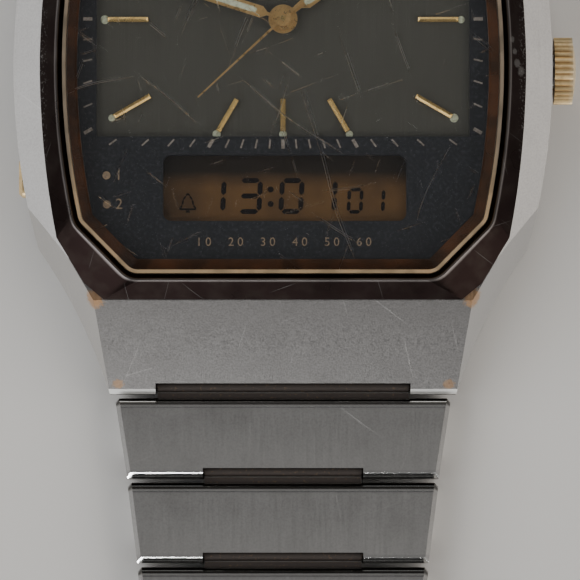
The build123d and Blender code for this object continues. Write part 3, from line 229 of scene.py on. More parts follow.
class Finish:
    """A material whose Principled shader stays in it, with short ways to lay effects over its colour."""

    def __init__(self, name, colour, metallic, roughness=0.5, specular=0.5):
        self.material = bpy.data.materials.new(name)
        self.material.use_nodes = True
        self.tree = self.material.node_tree
        self.shader = self.tree.nodes["Principled BSDF"]
        self.shader.inputs["Base Color"].default_value = colour
        self.shader.inputs["Metallic"].default_value = metallic
        self.shader.inputs["Roughness"].default_value = roughness
        self.shader.inputs["Specular IOR Level"].default_value = specular
        self.colour = colour
        self.place = add_node(self.tree, "ShaderNodeTexCoord").outputs["Object"]
        self.tint = None

    def effect(self, group, values):
        node = add_node(self.tree, "ShaderNodeGroup", node_tree=group)
        self.tree.links.new(self.place, node.inputs["Vector"])
        for key, value in values.items():
            node.inputs[key].default_value = value
        return node.outputs

    def brushed(self, lines, length, turn=0.0):
        return self.effect(brushing, {"Lines per metre": lines, "Length share": length, "Turn": turn})

    def scratched(self, cells, width, share):
        values = {"Cells per metre": cells, "Width": width, "Share": share}
        return self.effect(scratches, values)["Scratch"]

    def spot(self, x, y, z, radius):
        """A worn spot, its place and radius given in millimetres."""
        values = {"Centre": (x * MM, y * MM, z * MM), "Radius": radius * MM}
        return self.effect(worn_spot, values)["Mask"]

    def noise(self, scale, detail=2.0):
        return add_noise(self.tree, self.place, scale, detail)

    def math(self, operation, first, second=None):
        return add_math(self.tree, operation, first, second)

    def times(self, first, second):
        return self.math("MULTIPLY", first, second)

    def raised(self, value, mask, amount):
        return self.math("ADD", value, self.times(mask, amount))

    def split(self, vector):
        return add_node(self.tree, "ShaderNodeSeparateXYZ", {0: vector}).outputs

    def along(self, axis):
        return self.split(self.place)[axis]

    def outward(self, axis):
        return self.math("ABSOLUTE", self.along(axis))

    def facing(self):
        return self.split(add_node(self.tree, "ShaderNodeNewGeometry").outputs["Normal"])

    def spread(self, value, low, high, start=0.0, end=1.0):
        inputs = {"Value": value, "From Min": start, "From Max": end, "To Min": low, "To Max": high}
        return add_node(self.tree, "ShaderNodeMapRange", inputs).outputs["Result"]

    def lay(self, mask, colour, strength):
        mix = add_node(self.tree, "ShaderNodeMix", data_type="RGBA")
        factor, first, second = (s for s in mix.inputs if s.name in "FactorAB" and s.enabled)
        first.default_value = self.colour
        if self.tint is not None:
            self.tree.links.new(self.tint, first)
        second.default_value = colour
        self.tree.links.new(self.times(mask, strength), factor)
        self.tint = next(s for s in mix.outputs if s.enabled)
        self.tree.links.new(self.tint, self.shader.inputs["Base Color"])

    def lay_where(self, value, start, end, colour, strength):
        """Lays the colour on, with nothing at the value's start and its full strength at the end."""
        self.lay(self.spread(value, 0, 1, start, end), colour, strength)

    def roughen(self, value):
        self.tree.links.new(value, self.shader.inputs["Roughness"])

    def bump(self, distance, *layers):
        """Shades relief from the sum of the layers, each a value with its strength; millimetres deep."""
        height = None
        for value, strength in layers:
            part = self.times(value, strength)
            height = part if height is None else self.math("ADD", height, part)
        bump = add_node(self.tree, "ShaderNodeBump", {"Height": height, "Distance": distance * MM})
        self.tree.links.new(bump.outputs["Normal"], self.shader.inputs["Normal"])

    def turned_by(self, sideways):
        """Faces that lean towards 12 or 6 o'clock by one amount, as a bevel or a lug's slope does."""
        normal = self.facing()
        apart = self.math("SUBTRACT", self.math("ABSOLUTE", normal["Y"]), sideways)
        near = self.math("LESS_THAN", self.math("ABSOLUTE", apart), sideways_leeway)
        return self.times(near, self.math("GREATER_THAN", normal["Z"], upward_least))

    def near_hinges(self):
        """Low places within a knuckle's reach of a hinge, which get painted shade and where oil and dust
        gather.
        """
        row = self.math("SUBTRACT", self.outward("Y"), first_hinge_y)
        step = self.math("FRACT", self.math("ADD", self.times(row, 1 / hinge_pitch), 0.5))
        away = self.math("ABSOLUTE", self.math("SUBTRACT", step, 0.5))
        beside = self.spread(away, 1, 0, *knuckle_shares)
        low = self.spread(self.along("Z"), 1, 0, *knuckle_top_z)
        return self.times(self.times(beside, low), self.math("GREATER_THAN", row, -hinge_reach))

    def fleck_hinges(self, strength):
        knuckles = self.near_hinges()
        flecks = self.spread(self.noise(fleck_noise_scale, 3.0), 0, 1, 0.6, 0.68)
        # Painted shade over the low places by the hinges, under flecks of dust
        self.lay(knuckles, knuckle_shade_and_dirt_colour, 0.95)
        self.lay(self.times(knuckles, flecks), dirt_fleck_colour, strength)


def dress(finish, *nodes):
    for name in nodes:
        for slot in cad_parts[name].material_slots:
            slot.material = finish.material


case_finish = Finish("brushed case steel", case_steel_colour, 1.0)
case_grain = case_finish.brushed(17000.0, 0.02)
case_marks = case_finish.scratched(330.0, 0.010, 0.40)
case_finish.lay_where(case_grain["Grain"], 0.3, 0.75, wear_and_lit_colour, 0.14)
case_finish.lay_where(case_grain["Patches"], 0.45, 0.75, grime_and_shade_colour, 0.08)
case_finish.lay_where(case_finish.noise(9000.0, 4.0), 0.4, 0.7, grime_and_shade_colour, 0.22)
case_facing = case_finish.facing()
case_sideways = case_finish.times(
    case_finish.math("ABSOLUTE", case_facing["X"]),
    case_finish.math("GREATER_THAN", case_facing["Z"], upward_least),
)
# Painted shade: the lug slopes are painted darker towards the bezel
slope_shade = case_finish.spread(case_finish.outward("Y"), 1, lug_slope_least_shade, *lug_slope_y)
case_slope = case_finish.times(slope_shade, case_finish.turned_by(lug_slope_sideways))
# Painted highlight: faces that lean sideways, towards the side lamps, are painted lighter
case_finish.lay_where(case_sideways, *side_bevel_leans, flank_highlight_colour, 0.2)
case_finish.lay_where(case_sideways, *lug_flank_leans, flank_highlight_colour, 0.68)
case_finish.lay(case_slope, grime_and_shade_colour, 0.3)
case_finish.lay(case_marks, wear_and_lit_colour, 0.3)
for x, y, z in case_corner_spots:
    case_finish.lay(case_finish.spot(x, y, z, case_corner_spot_radius), dirt_colour, 0.8)
for x, y, z in lug_tip_spots:
    case_finish.lay(case_finish.spot(x, y, z, lug_tip_spot_radius), dirt_colour, 0.6)
# Painted shade and flecks of dust in the low places by the first hinge
case_finish.fleck_hinges(0.7)
# Painted highlight: the bevels of the lug tips are painted nearly white
case_bevel = case_finish.turned_by(lug_bevel_sideways)
case_finish.lay(case_bevel, bevel_highlight_colour, 0.95)
case_roughness = case_finish.spread(case_grain["Grain"], 0.30, 0.46, 0.3, 0.7)
case_finish.roughen(case_finish.raised(case_roughness, case_bevel, 0.25))
case_finish.bump(0.006, (case_grain["Grain"], 0.5), (case_marks, -0.6))
dress(case_finish, "case_middle")

# Bezel
# A raised steel frame pressed on the case, polished, its colour painted nearly black as a painted dark
# reflection; hairline scratched by wear, nicked along its outer rim and scraped beside the crown, with a
# narrow crest beside the gold line that carries a painted highlight
bezel_dark_reflection_colour = (0.0185, 0.012, 0.0112, 1)
bezel_crest_highlight_colour = (0.27, 0.245, 0.235, 1)
bezel_crest_z = (7.26 * MM, 7.33 * MM)
bezel_rim_x = (13.9 * MM, 14.5 * MM)
bezel_scrapes = (
    (13.55, 1.5, 7.24, 0.2), (13.7, 0.8, 7.11, 0.2), (13.85, 0.1, 6.97, 0.26), (14.1, -0.35, 6.72, 0.3)
)

# Painted reflection: the polished steel is coloured nearly black
bezel_finish = Finish("polished steel with painted dark reflection", bezel_dark_reflection_colour, 1.0)
bezel_marks = bezel_finish.scratched(430.0, 0.008, 0.36)
bezel_grain = bezel_finish.brushed(5200.0, 0.4)
bezel_finish.lay_where(bezel_finish.noise(900.0, 3.0), 0.45, 0.7, grime_and_shade_colour, 0.25)
bezel_finish.lay(bezel_marks, wear_and_lit_colour, 0.22)
bezel_rim = bezel_finish.spread(bezel_finish.outward("X"), 0, 1, *bezel_rim_x)
bezel_nicks = bezel_finish.spread(bezel_finish.noise(6500.0, 4.0), 0, 1, 0.56, 0.66)
bezel_finish.lay(bezel_finish.times(bezel_rim, bezel_nicks), wear_and_lit_colour, 0.3)
for x, y, z, radius in bezel_scrapes:
    bezel_finish.lay(bezel_finish.spot(x, y, z, radius), wear_and_lit_colour, 0.13)
# Painted highlight: a narrow band along the crest is painted lighter
bezel_finish.lay_where(bezel_finish.along("Z"), *bezel_crest_z, bezel_crest_highlight_colour, 0.7)
bezel_finish.roughen(bezel_finish.spread(bezel_grain["Patches"], 0.27, 0.40, 0.35, 0.7))
bezel_finish.bump(0.008, (bezel_marks, -1.0), (bezel_grain["Grain"], 0.15))
dress(bezel_finish, "bezel")

# Trim ring
# A thin brass ring, gold plated and polished, that holds the crystal down; its plating has dulled,
# shows small pits and is greyer and darker along the two sides
trim_colour = (0.95, 0.70, 0.43, 1)
trim_dull_colour = (0.62, 0.40, 0.22, 1)
trim_side_grey_colour = (0.36, 0.31, 0.25, 1)
trim_side_x = (12.2 * MM, 12.7 * MM)


def mottled(name, colour, second_colour, metallic, scale, strength, rough, depth=None,
            detail=4.0, start=0.45, end=0.7, rough_start=0.35, specular=0.5):
    """A finish that varies in patches between two colours, with matching roughness and relief."""
    finish = Finish(name, colour, metallic, specular=specular)
    patches = finish.noise(scale, detail)
    finish.lay_where(patches, start, end, second_colour, strength)
    finish.roughen(finish.spread(patches, *rough, rough_start, 0.7))
    if depth is not None:
        finish.bump(depth, (patches, 1.0))
    return finish


trim_finish = mottled(
    "dulled gold ring", trim_colour, trim_dull_colour, 1.0, 900.0, 0.7, (0.34, 0.5), 0.01,
    start=0.5, end=0.68, rough_start=0.4,
)
trim_finish.lay_where(trim_finish.outward("X"), *trim_side_x, trim_side_grey_colour, 0.8)
dress(trim_finish, "trim_ring")

# Crystal
# Flat scratched mineral glass with a ground edge, pressed into its gasket. Light that casts shadows and
# most of the light at the ground edge go straight through, so that the dial is lit and the gasket shows
glass_colour = (0.985, 0.99, 0.985, 1)
glass_edge_reflection_colour = (0.75, 0.42, 0.20, 1)
clear_colour = (0.93, 0.93, 0.92, 1)
glass_refraction = 1.5
edge_leans = (0.93, 0.97)
edge_see_through = 0.88

crystal_finish = Finish("scratched mineral glass", glass_colour, 0.0)
crystal_finish.shader.inputs["Transmission Weight"].default_value = 1.0
crystal_finish.shader.inputs["IOR"].default_value = glass_refraction
glass_marks = crystal_finish.math(
    "MAXIMUM",
    crystal_finish.scratched(290.0, 0.0048, 0.44),
    crystal_finish.scratched(700.0, 0.009, 0.39),
)
glass_level = crystal_finish.math("ABSOLUTE", crystal_finish.facing()["Z"])
ground_edge = crystal_finish.spread(glass_level, 1, 0, *edge_leans)
glass_roughness = crystal_finish.spread(glass_marks, 0.015, 0.6)
crystal_finish.roughen(crystal_finish.raised(glass_roughness, ground_edge, 0.3))
# Painted reflection: the ground edge is tinted brown, like the gold ring and gasket seen in it
crystal_finish.lay(ground_edge, glass_edge_reflection_colour, 1.0)
crystal_finish.bump(0.02, (glass_marks, -1.0))
crystal_tree = crystal_finish.tree
shadow_ray = add_node(crystal_tree, "ShaderNodeLightPath").outputs["Is Shadow Ray"]
clear_edge = crystal_finish.times(ground_edge, edge_see_through)
see_through = crystal_finish.math("MAXIMUM", shadow_ray, clear_edge)
clear = add_node(crystal_tree, "ShaderNodeBsdfTransparent", {"Color": clear_colour}).outputs["BSDF"]
glass = crystal_finish.shader.outputs["BSDF"]
crystal_mix = add_node(crystal_tree, "ShaderNodeMixShader", {0: see_through, 1: glass, 2: clear})
surface = crystal_tree.nodes["Material Output"].inputs["Surface"]
crystal_tree.links.new(crystal_mix.outputs["Shader"], surface)
dress(crystal_finish, "crystal")

# Crystal gasket
# A brown moulded ring that the crystal is pressed into, which shows through the ground edge of the
# glass as a warm dark band
gasket_colour = (0.058, 0.024, 0.009, 1)
gasket_warm_colour = (0.19, 0.066, 0.018, 1)

gasket_finish = mottled(
    "brown gasket", gasket_colour, gasket_warm_colour, 0.0, 700.0, 0.8, (0.35, 0.6),
    detail=3.0, start=0.42, end=0.68, rough_start=0.3,
)
dress(gasket_finish, "crystal_gasket")

# Case back, its screws, rubber gaskets and sound disc
# A steel plate brushed across, held by four turned screws over a black rubber ring; the alarm's
# brass disc with its ceramic crystal is glued inside it
back_colour = (0.50, 0.495, 0.485, 1)
screw_colour = (0.44, 0.435, 0.42, 1)
rubber_colour = (0.022, 0.021, 0.020, 1)
rubber_dust_colour = (0.085, 0.08, 0.072, 1)
disc_brass_colour = (0.66, 0.48, 0.22, 1)
disc_tarnish_colour = (0.34, 0.21, 0.09, 1)

back_finish = Finish("brushed back steel", back_colour, 1.0)
back_grain = back_finish.brushed(9500.0, 0.03, math.pi / 2)
back_marks = back_finish.scratched(300.0, 0.008, 0.38)
back_finish.lay_where(back_grain["Grain"], 0.35, 0.7, wear_and_lit_colour, 0.35)
back_finish.lay_where(back_grain["Patches"], 0.5, 0.8, grime_and_shade_colour, 0.25)
back_finish.roughen(back_finish.spread(back_grain["Grain"], 0.26, 0.42, 0.3, 0.7))
back_finish.bump(0.01, (back_grain["Grain"], 0.5), (back_marks, -0.8))
dress(back_finish, "caseback")

screw_finish = mottled(
    "turned screw steel", screw_colour, grime_and_shade_colour, 1.0, 4200.0, 0.5, (0.2, 0.45), 0.006,
    detail=3.0, start=0.5, end=0.75, rough_start=0.3,
)
dress(screw_finish, "caseback_screws")
rubber_finish = mottled(
    "black rubber", rubber_colour, rubber_dust_colour, 0.0, 1500.0, 0.6, (0.6, 0.85), 0.02,
    start=0.48, end=0.75, rough_start=0.3,
)
dress(rubber_finish, "case_gaskets", "zebra_strips")
disc_finish = mottled(
    "spun brass", disc_brass_colour, disc_tarnish_colour, 1.0, 520.0, 0.7, (0.24, 0.5),
    detail=5.0, start=0.46,
)
dress(disc_finish, "sound_disc")

# Dial plate
# A brass plate, lacquered dark grey over a grain brushed from 12 to 6 o'clock, into which the batons
# are pressed
dial_colour = (0.035, 0.0345, 0.029, 1)
dial_light_colour = (0.052, 0.051, 0.043, 1)

dial_finish = Finish("grey brushed lacquer", dial_colour, 0.0, specular=0.25)
dial_grain = dial_finish.brushed(12000.0, 0.015)
dial_finish.lay_where(dial_grain["Grain"], 0.38, 0.68, dial_light_colour, 0.45)
dial_finish.roughen(dial_finish.spread(dial_grain["Patches"], 0.42, 0.6, 0.35, 0.7))
dial_finish.bump(0.008, (dial_grain["Grain"], 0.6))
dress(dial_finish, "dial_plate")

# Dial mask
# A thin stamped frame round the dial and the display, lacquered blue-black with a fine eggshell skin;
# the minute track and the plain numbers are printed on it
mask_colour = (0.010, 0.011, 0.0135, 1)
mask_speck_colour = (0.040, 0.042, 0.050, 1)

mask_finish = mottled(
    "blue-black lacquer", mask_colour, mask_speck_colour, 0.0, 5200.0, 0.5, (0.36, 0.55), 0.006,
    detail=3.0, start=0.5, end=0.72, specular=0.15,
)
dress(mask_finish, "dial_mask")

# Minute track
# Sixty fine strokes printed in dull gold on the mask, each pointing at the hands' axis, with every
# fifth one bolder. They stand on a rectangle whose two upper corners are cut
dial_axis = Vector((0, 2.8 * MM))
track_half_width = 11.3 * MM
track_half_height = 7.16 * MM
track_corner_sum = 16.75 * MM
stroke_length = 0.55 * MM
stroke_width = 0.1 * MM
bold_stroke_width = 0.2 * MM
strokes = 60
strokes_an_hour = 5.0
print_top = 5.965 * MM
track_colour = (0.175, 0.155, 0.135, 1)
print_faded_colour = (0.085, 0.066, 0.05, 1)
least_divisor = 0.0001


def print_material(name, colour):
    finish = mottled(
        name, colour, print_faded_colour, 0.1, 6500.0, 0.85, (0.5, 0.75), detail=3.0, start=0.42
    )
    return finish.material


def node_tree(name, inputs):
    tree = bpy.data.node_groups.new(name, "GeometryNodeTree")
    tree.interface.new_socket(name="Geometry", in_out="INPUT", socket_type="NodeSocketGeometry")
    for label, value in inputs.items():
        kind = "NodeSocketInt" if isinstance(value, int) else "NodeSocketFloat"
        tree.interface.new_socket(name=label, in_out="INPUT", socket_type=kind).default_value = value
    tree.interface.new_socket(name="Geometry", in_out="OUTPUT", socket_type="NodeSocketGeometry")
    return tree, tree.nodes.new("NodeGroupInput").outputs, tree.nodes.new("NodeGroupOutput").inputs


def add_row(tree, given, count, outwards, cut_below):
    """Points round the hands' axis, on a rectangle with cut corners and then moved outwards."""
    index = add_node(tree, "GeometryNodeInputIndex").outputs[0]
    angle = add_math(tree, "MULTIPLY", index, math.tau / count)
    side = add_math(tree, "SINE", angle)
    rise = add_math(tree, "COSINE", angle)
    flat_side = add_math(tree, "MAXIMUM", add_math(tree, "ABSOLUTE", side), least_divisor)
    flat_rise = add_math(tree, "MAXIMUM", add_math(tree, "ABSOLUTE", rise), least_divisor)
    to_side = add_math(tree, "DIVIDE", given["Half width"], flat_side)
    to_end = add_math(tree, "DIVIDE", given["Half height"], flat_rise)
    to_corner = add_math(tree, "DIVIDE", given["Corner sum"], add_math(tree, "ADD", flat_side, flat_rise))
    if not cut_below:
        to_corner = add_math(tree, "ADD", to_corner, add_math(tree, "LESS_THAN", rise, 0.0))
    reach = add_math(tree, "MINIMUM", add_math(tree, "MINIMUM", to_side, to_end), to_corner)
    reach = add_math(tree, "ADD", reach, outwards)
    place = add_vector(
        tree,
        add_math(tree, "MULTIPLY", side, reach),
        add_math(tree, "ADD", add_math(tree, "MULTIPLY", rise, reach), given["Axis Y"]),
        given["Height"],
    )
    points = add_node(tree, "GeometryNodePoints", {"Count": count, "Position": place}).outputs[0]
    return points, index, angle


def close_tree(tree, made, instances, material):
    placed = add_node(tree, "GeometryNodeInstanceOnPoints", instances).outputs[0]
    real = add_node(tree, "GeometryNodeRealizeInstances", {"Geometry": placed}).outputs[0]
    last = add_node(tree, "GeometryNodeSetMaterial", {"Geometry": real, "Material": material})
    tree.links.new(last.outputs[0], made[0])


def plain_mesh(source):
    """The object's shape as a plain mesh; the object itself is taken away."""
    bpy.context.collection.objects.link(source)
    bpy.context.view_layer.update()
    mesh = bpy.data.meshes.new_from_object(source.evaluated_get(bpy.context.evaluated_depsgraph_get()))
    bpy.data.objects.remove(source)
    return mesh


def add_piece(name, mesh, body):
    piece = bpy.data.objects.new(name, mesh)
    bpy.context.collection.objects.link(piece)
    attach(piece, body)
    return piece


def grow(name, tree, body):
    """Runs the tree on an empty mesh and keeps the result as a plain mesh that rides on the body."""
    seed = bpy.data.objects.new(name + "_seed", bpy.data.meshes.new(name + "_seed"))
    seed.modifiers.new("grow", "NODES").node_group = tree
    return add_piece(name, plain_mesh(seed), body)


def build_track_tree(material):
    tree, given, made = node_tree(
        "minute track",
        {
            "Half width": track_half_width,
            "Half height": track_half_height,
            "Corner sum": track_corner_sum,
            "Stroke length": stroke_length,
            "Stroke width": stroke_width,
            "Bold width": bold_stroke_width,
            "Axis Y": dial_axis.y,
            "Height": print_top,
        },
    )
    half_stroke = add_math(tree, "MULTIPLY", given["Stroke length"], 0.5)
    points, index, angle = add_row(tree, given, strokes, half_stroke, cut_below=False)
    after_hour = add_math(tree, "FLOORED_MODULO", add_math(tree, "ADD", index, 0.5), strokes_an_hour)
    bold = add_math(tree, "LESS_THAN", after_hour, 1.0)
    extra = add_math(tree, "SUBTRACT", given["Bold width"], given["Stroke width"])
    width = add_math(tree, "ADD", given["Stroke width"], add_math(tree, "MULTIPLY", bold, extra))
    square = {"Size X": 1.0, "Size Y": 1.0, "Vertices X": 2, "Vertices Y": 2}
    instances = {
        "Points": points,
        "Instance": add_node(tree, "GeometryNodeMeshGrid", square).outputs["Mesh"],
        "Rotation": add_vector(tree, z=add_math(tree, "MULTIPLY", angle, -1.0)),
        "Scale": add_vector(tree, width, given["Stroke length"], 1.0),
    }
    close_tree(tree, made, instances, material)
    return tree


track_print = print_material("greyed gold print", track_colour)
grow("minute_track", build_track_tree(track_print), "case")

# Printed marks
# Two gold dots with plain numbers for the side buttons, and a line of plain numbers below the display.
# All are printed on the mask, in a warmer gold than the track
label_dot_radius = 0.24 * MM
label_dot_top_share = 0.94
label_dots = ((-10.45 * MM, -6.50 * MM), (-10.42 * MM, -8.22 * MM))
label_number_gap = 0.5 * MM
label_height = 0.62 * MM
lower_line_height = 0.5 * MM
lower_line_place = (0.05 * MM, -10.46 * MM)
lower_line_spacing = 1.55
letter_share = 0.7
letter_thickness = 0.012 * MM
print_colour = (0.19, 0.135, 0.08, 1)

gold_print = print_material("dull gold print", print_colour)


def keep_mesh(name, form, material, body):
    bmesh.ops.recalc_face_normals(form, faces=form.faces)
    mesh = bpy.data.meshes.new(name)
    form.to_mesh(mesh)
    form.free()
    mesh.materials.append(material)
    return add_piece(name, mesh, body)


def printed_dot(name, centre):
    form = bmesh.new()
    dot = bmesh.ops.create_cone(
        form,
        cap_ends=True,
        segments=32,
        radius1=label_dot_radius,
        radius2=label_dot_radius * label_dot_top_share,
        depth=letter_thickness,
    )
    bmesh.ops.translate(form, verts=dot["verts"], vec=(*centre, print_top - letter_thickness / 2))
    keep_mesh(name, form, gold_print, "case")


def printed_words(name, words, place, height, align, spacing=1.0):
    """A row of plain numbers as a thin mesh, centred or begun at the place."""
    curve = bpy.data.curves.new(name + "_curve", "FONT")
    curve.body = words
    curve.align_x = align
    curve.align_y = "CENTER"
    curve.size = height / letter_share
    curve.space_character = spacing
    curve.extrude = letter_thickness / 2
    mesh = plain_mesh(bpy.data.objects.new(name + "_curve", curve))
    mesh.transform(Matrix.Translation((*place, print_top - letter_thickness / 2)))
    mesh.materials.clear()
    mesh.materials.append(gold_print)
    add_piece(name, mesh, "case")


for number, (x, y) in enumerate(label_dots, start=1):
    printed_dot(f"label_dot_{number}", (x, y))
    printed_words(f"label_number_{number}", str(number), (x + label_number_gap, y), label_height, "LEFT")
lower_line = "10  20  30  40  50  60"
printed_words(
    "lower_numbers", lower_line, lower_line_place, lower_line_height, "CENTER", lower_line_spacing
)

# Hour batons and their luminous dots
# Gold bars pressed into the dial plate, each with a low ridge along its top and a raised blob of aged
# luminous paint at its outer end; the blobs stand on a rectangle with cut corners as the bars do
baton_colour = (0.72, 0.50, 0.20, 1)
baton_tarnish_colour = (0.30, 0.17, 0.07, 1)
baton_top = 5.7 * MM
baton_half_width = 0.145 * MM
ridge_hip = 0.12 * MM
ridge_sink = 0.005 * MM
upright_bar = (4.74 * MM, 6.64 * MM, 0.018 * MM)
steep_bar = (5.49 * MM, 7.67 * MM, 0.032 * MM)
shallow_bar = (9.11 * MM, 11.54 * MM, 0.06 * MM)
level_bar = (8.01 * MM, 10.39 * MM, 0.06 * MM)
bars = (upright_bar, steep_bar, shallow_bar, level_bar, shallow_bar, steep_bar)
dot_row_half_width = 10.57 * MM
dot_row_half_height = 6.82 * MM
dot_row_corner_sum = 16.0 * MM
dot_radius = 0.24 * MM
dot_least_share, dot_most_share = 0.9, 1.1
dot_rise = 0.09 * MM
dial_top = 5.5 * MM
lume_colour = (0.37, 0.40, 0.30, 1)
lume_aged_colour = (0.22, 0.23, 0.155, 1)

baton_finish = mottled(
    "polished gold plate", baton_colour, baton_tarnish_colour, 1.0, 1600.0, 0.4, (0.2, 0.3), 0.003,
    start=0.5,
)
dress(baton_finish, "hour_markers")


def raise_ridge(form, turn, inner, outer, rise):
    """Two long slopes that meet in a ridge, with hipped ends, on one bar's top."""
    along = Vector((math.sin(turn), math.cos(turn)))
    across = Vector((along.y, -along.x)) * baton_half_width
    foot = baton_top - ridge_sink
    corners = ((inner, -1), (inner, 1), (outer, 1), (outer, -1))
    base = [
        form.verts.new((*(dial_axis + along * reach + across * side), foot)) for reach, side in corners
    ]
    crest = [
        form.verts.new((*(dial_axis + along * reach), baton_top + rise))
        for reach in (inner + ridge_hip, outer - ridge_hip)
    ]
    form.faces.new(base)
    form.faces.new((base[0], base[1], crest[0]))
    form.faces.new((base[2], base[3], crest[1]))
    form.faces.new((base[1], base[2], crest[1], crest[0]))
    form.faces.new((base[3], base[0], crest[0], crest[1]))


ridges = bmesh.new()
for hours in range(12):
    raise_ridge(ridges, hours * math.tau / 12, *bars[hours % 6])
keep_mesh("baton_ridges", ridges, baton_finish.material, "case")

lume_finish = mottled(
    "aged luminous paint", lume_colour, lume_aged_colour, 0.0, 7000.0, 0.8, (0.6, 0.85), 0.02,
    start=0.42, end=0.68,
)


def build_dot_tree():
    tree, given, made = node_tree(
        "luminous dots",
        {
            "Half width": dot_row_half_width,
            "Half height": dot_row_half_height,
            "Corner sum": dot_row_corner_sum,
            "Radius": dot_radius,
            "Rise": dot_rise,
            "Axis Y": dial_axis.y,
            "Height": dial_top,
            "Seed": 7,
        },
    )
    points = add_row(tree, given, 12, 0.0, cut_below=True)[0]
    blob = add_node(tree, "GeometryNodeMeshUVSphere", {"Segments": 20, "Rings": 10, "Radius": 1.0})
    swell = add_node(tree, "FunctionNodeRandomValue", {"Seed": given["Seed"]}, data_type="FLOAT")
    least, most = (socket for socket in swell.inputs if socket.name in ("Min", "Max") and socket.enabled)
    least.default_value, most.default_value = dot_least_share, dot_most_share
    swollen = next(socket for socket in swell.outputs if socket.enabled)
    width = add_math(tree, "MULTIPLY", given["Radius"], swollen)
    instances = {
        "Points": points,
        "Instance": blob.outputs["Mesh"],
        "Scale": add_vector(tree, width, width, given["Rise"]),
    }
    close_tree(tree, made, instances, lume_finish.material)
    return tree


dots = grow("luminous_dots", build_dot_tree(), "case")
for face in dots.data.polygons:
    face.use_smooth = True

# Display
# A liquid crystal panel whose tan reflector has browned; its dark segments show the hour, the minutes,
# the seconds and the alarm's bell. Painted shadow darkens the panel along the top and the left of its
# window
panel_colour = (0.082, 0.045, 0.018, 1)
panel_browning_and_shade_colour = (0.006, 0.006, 0.006, 1)
panel_edge_x = (-6.9 * MM, -4.2 * MM)
panel_shade_y = (-7.2 * MM, -6.2 * MM)
segment_colour = (0.005, 0.004, 0.004, 1)
segment_faded_colour = (0.012, 0.009, 0.007, 1)
segment_top = 5.462 * MM
segment_gap_share = 0.16
lit_segments = {"0": "abcdef", "1": "bc", "3": "abcdg"}
large_bottom, large_height, large_width = -8.61 * MM, 1.84 * MM, 1.17 * MM
small_bottom, small_height, small_width = -8.63 * MM, 1.33 * MM, 0.73 * MM
large_stroke, small_stroke = 0.30 * MM, 0.22 * MM
large_digits = (("1", -4.70), ("3", -2.55), ("0", -0.08), ("1", 1.89))
small_digits = (("0", 3.91), ("1", 5.21))
digit_slant = 0.055
colon_dots = ((-0.73 * MM, -7.30 * MM), (-0.73 * MM, -8.16 * MM))
colon_radius = 0.18 * MM
bell_centre = Vector((-5.64 * MM, -8.12 * MM))
bell_stroke = 0.11 * MM
bell_path = (
    (-0.50, -0.36), (-0.33, -0.12), (-0.27, 0.20), (-0.12, 0.42), (0.0, 0.60),
    (0.12, 0.42), (0.27, 0.20), (0.33, -0.12), (0.50, -0.36), (-0.50, -0.36),
)
clapper_corners = ((-0.13, -0.56), (0.13, -0.56), (0.1, -0.42), (-0.1, -0.42))

panel_finish = Finish("browned display", panel_colour, 0.0, specular=0.08)
panel_finish.lay_where(panel_finish.noise(420.0), 0.42, 0.7, panel_browning_and_shade_colour, 0.35)
# Painted shadow of the window's left wall, darker towards the left edge
panel_edge = panel_finish.spread(panel_finish.along("X"), 1, 0, *panel_edge_x)
panel_finish.lay(panel_edge, panel_browning_and_shade_colour, 0.45)
# Painted shadow of the mask along the top of the window
panel_finish.lay_where(panel_finish.along("Y"), *panel_shade_y, panel_browning_and_shade_colour, 0.92)
panel_finish.roughen(panel_finish.spread(panel_finish.noise(2600.0), 0.36, 0.55, 0.35, 0.7))
dress(panel_finish, "lcd_panel")

segment_finish = mottled(
    "display segments", segment_colour, segment_faded_colour, 0.0, 3000.0, 0.6, (0.35, 0.5),
    detail=3.0, start=0.52, specular=0.05,
)


def raise_outline(form, outline, top, thickness):
    """Adds a flat plate with the given outline, run anticlockwise, to the open mesh."""
    lower = [form.verts.new((x, y, top - thickness)) for x, y in outline]
    upper = [form.verts.new((x, y, top)) for x, y in outline]
    form.faces.new(upper)
    form.faces.new(list(reversed(lower)))
    for number in range(len(outline)):
        after = (number + 1) % len(outline)
        form.faces.new((lower[number], lower[after], upper[after], upper[number]))


def bar_outline(start, end, width):
    along = (end - start).normalized()
    across = Vector((-along.y, along.x)) * width / 2
    tip = along * width / 2
    return [start, start + tip - across, end - tip - across, end, end - tip + across, start + tip + across]


def draw_digit(form, digit, left, bottom, width, height, stroke):
    middle, right, top = bottom + height / 2, left + width, bottom + height
    ends = {
        "a": ((left, top), (right, top)),
        "b": ((right, middle), (right, top)),
        "c": ((right, bottom), (right, middle)),
        "d": ((left, bottom), (right, bottom)),
        "e": ((left, bottom), (left, middle)),
        "f": ((left, middle), (left, top)),
        "g": ((left, middle), (right, middle)),
    }
    for letter in lit_segments[digit]:
        start, end = (Vector(point) for point in ends[letter])
        gap = (end - start).normalized() * stroke * segment_gap_share
        outline = bar_outline(start + gap, end - gap, stroke)
        slanted = [(point.x + (point.y - middle) * digit_slant, point.y) for point in outline]
        raise_outline(form, slanted, segment_top, letter_thickness)


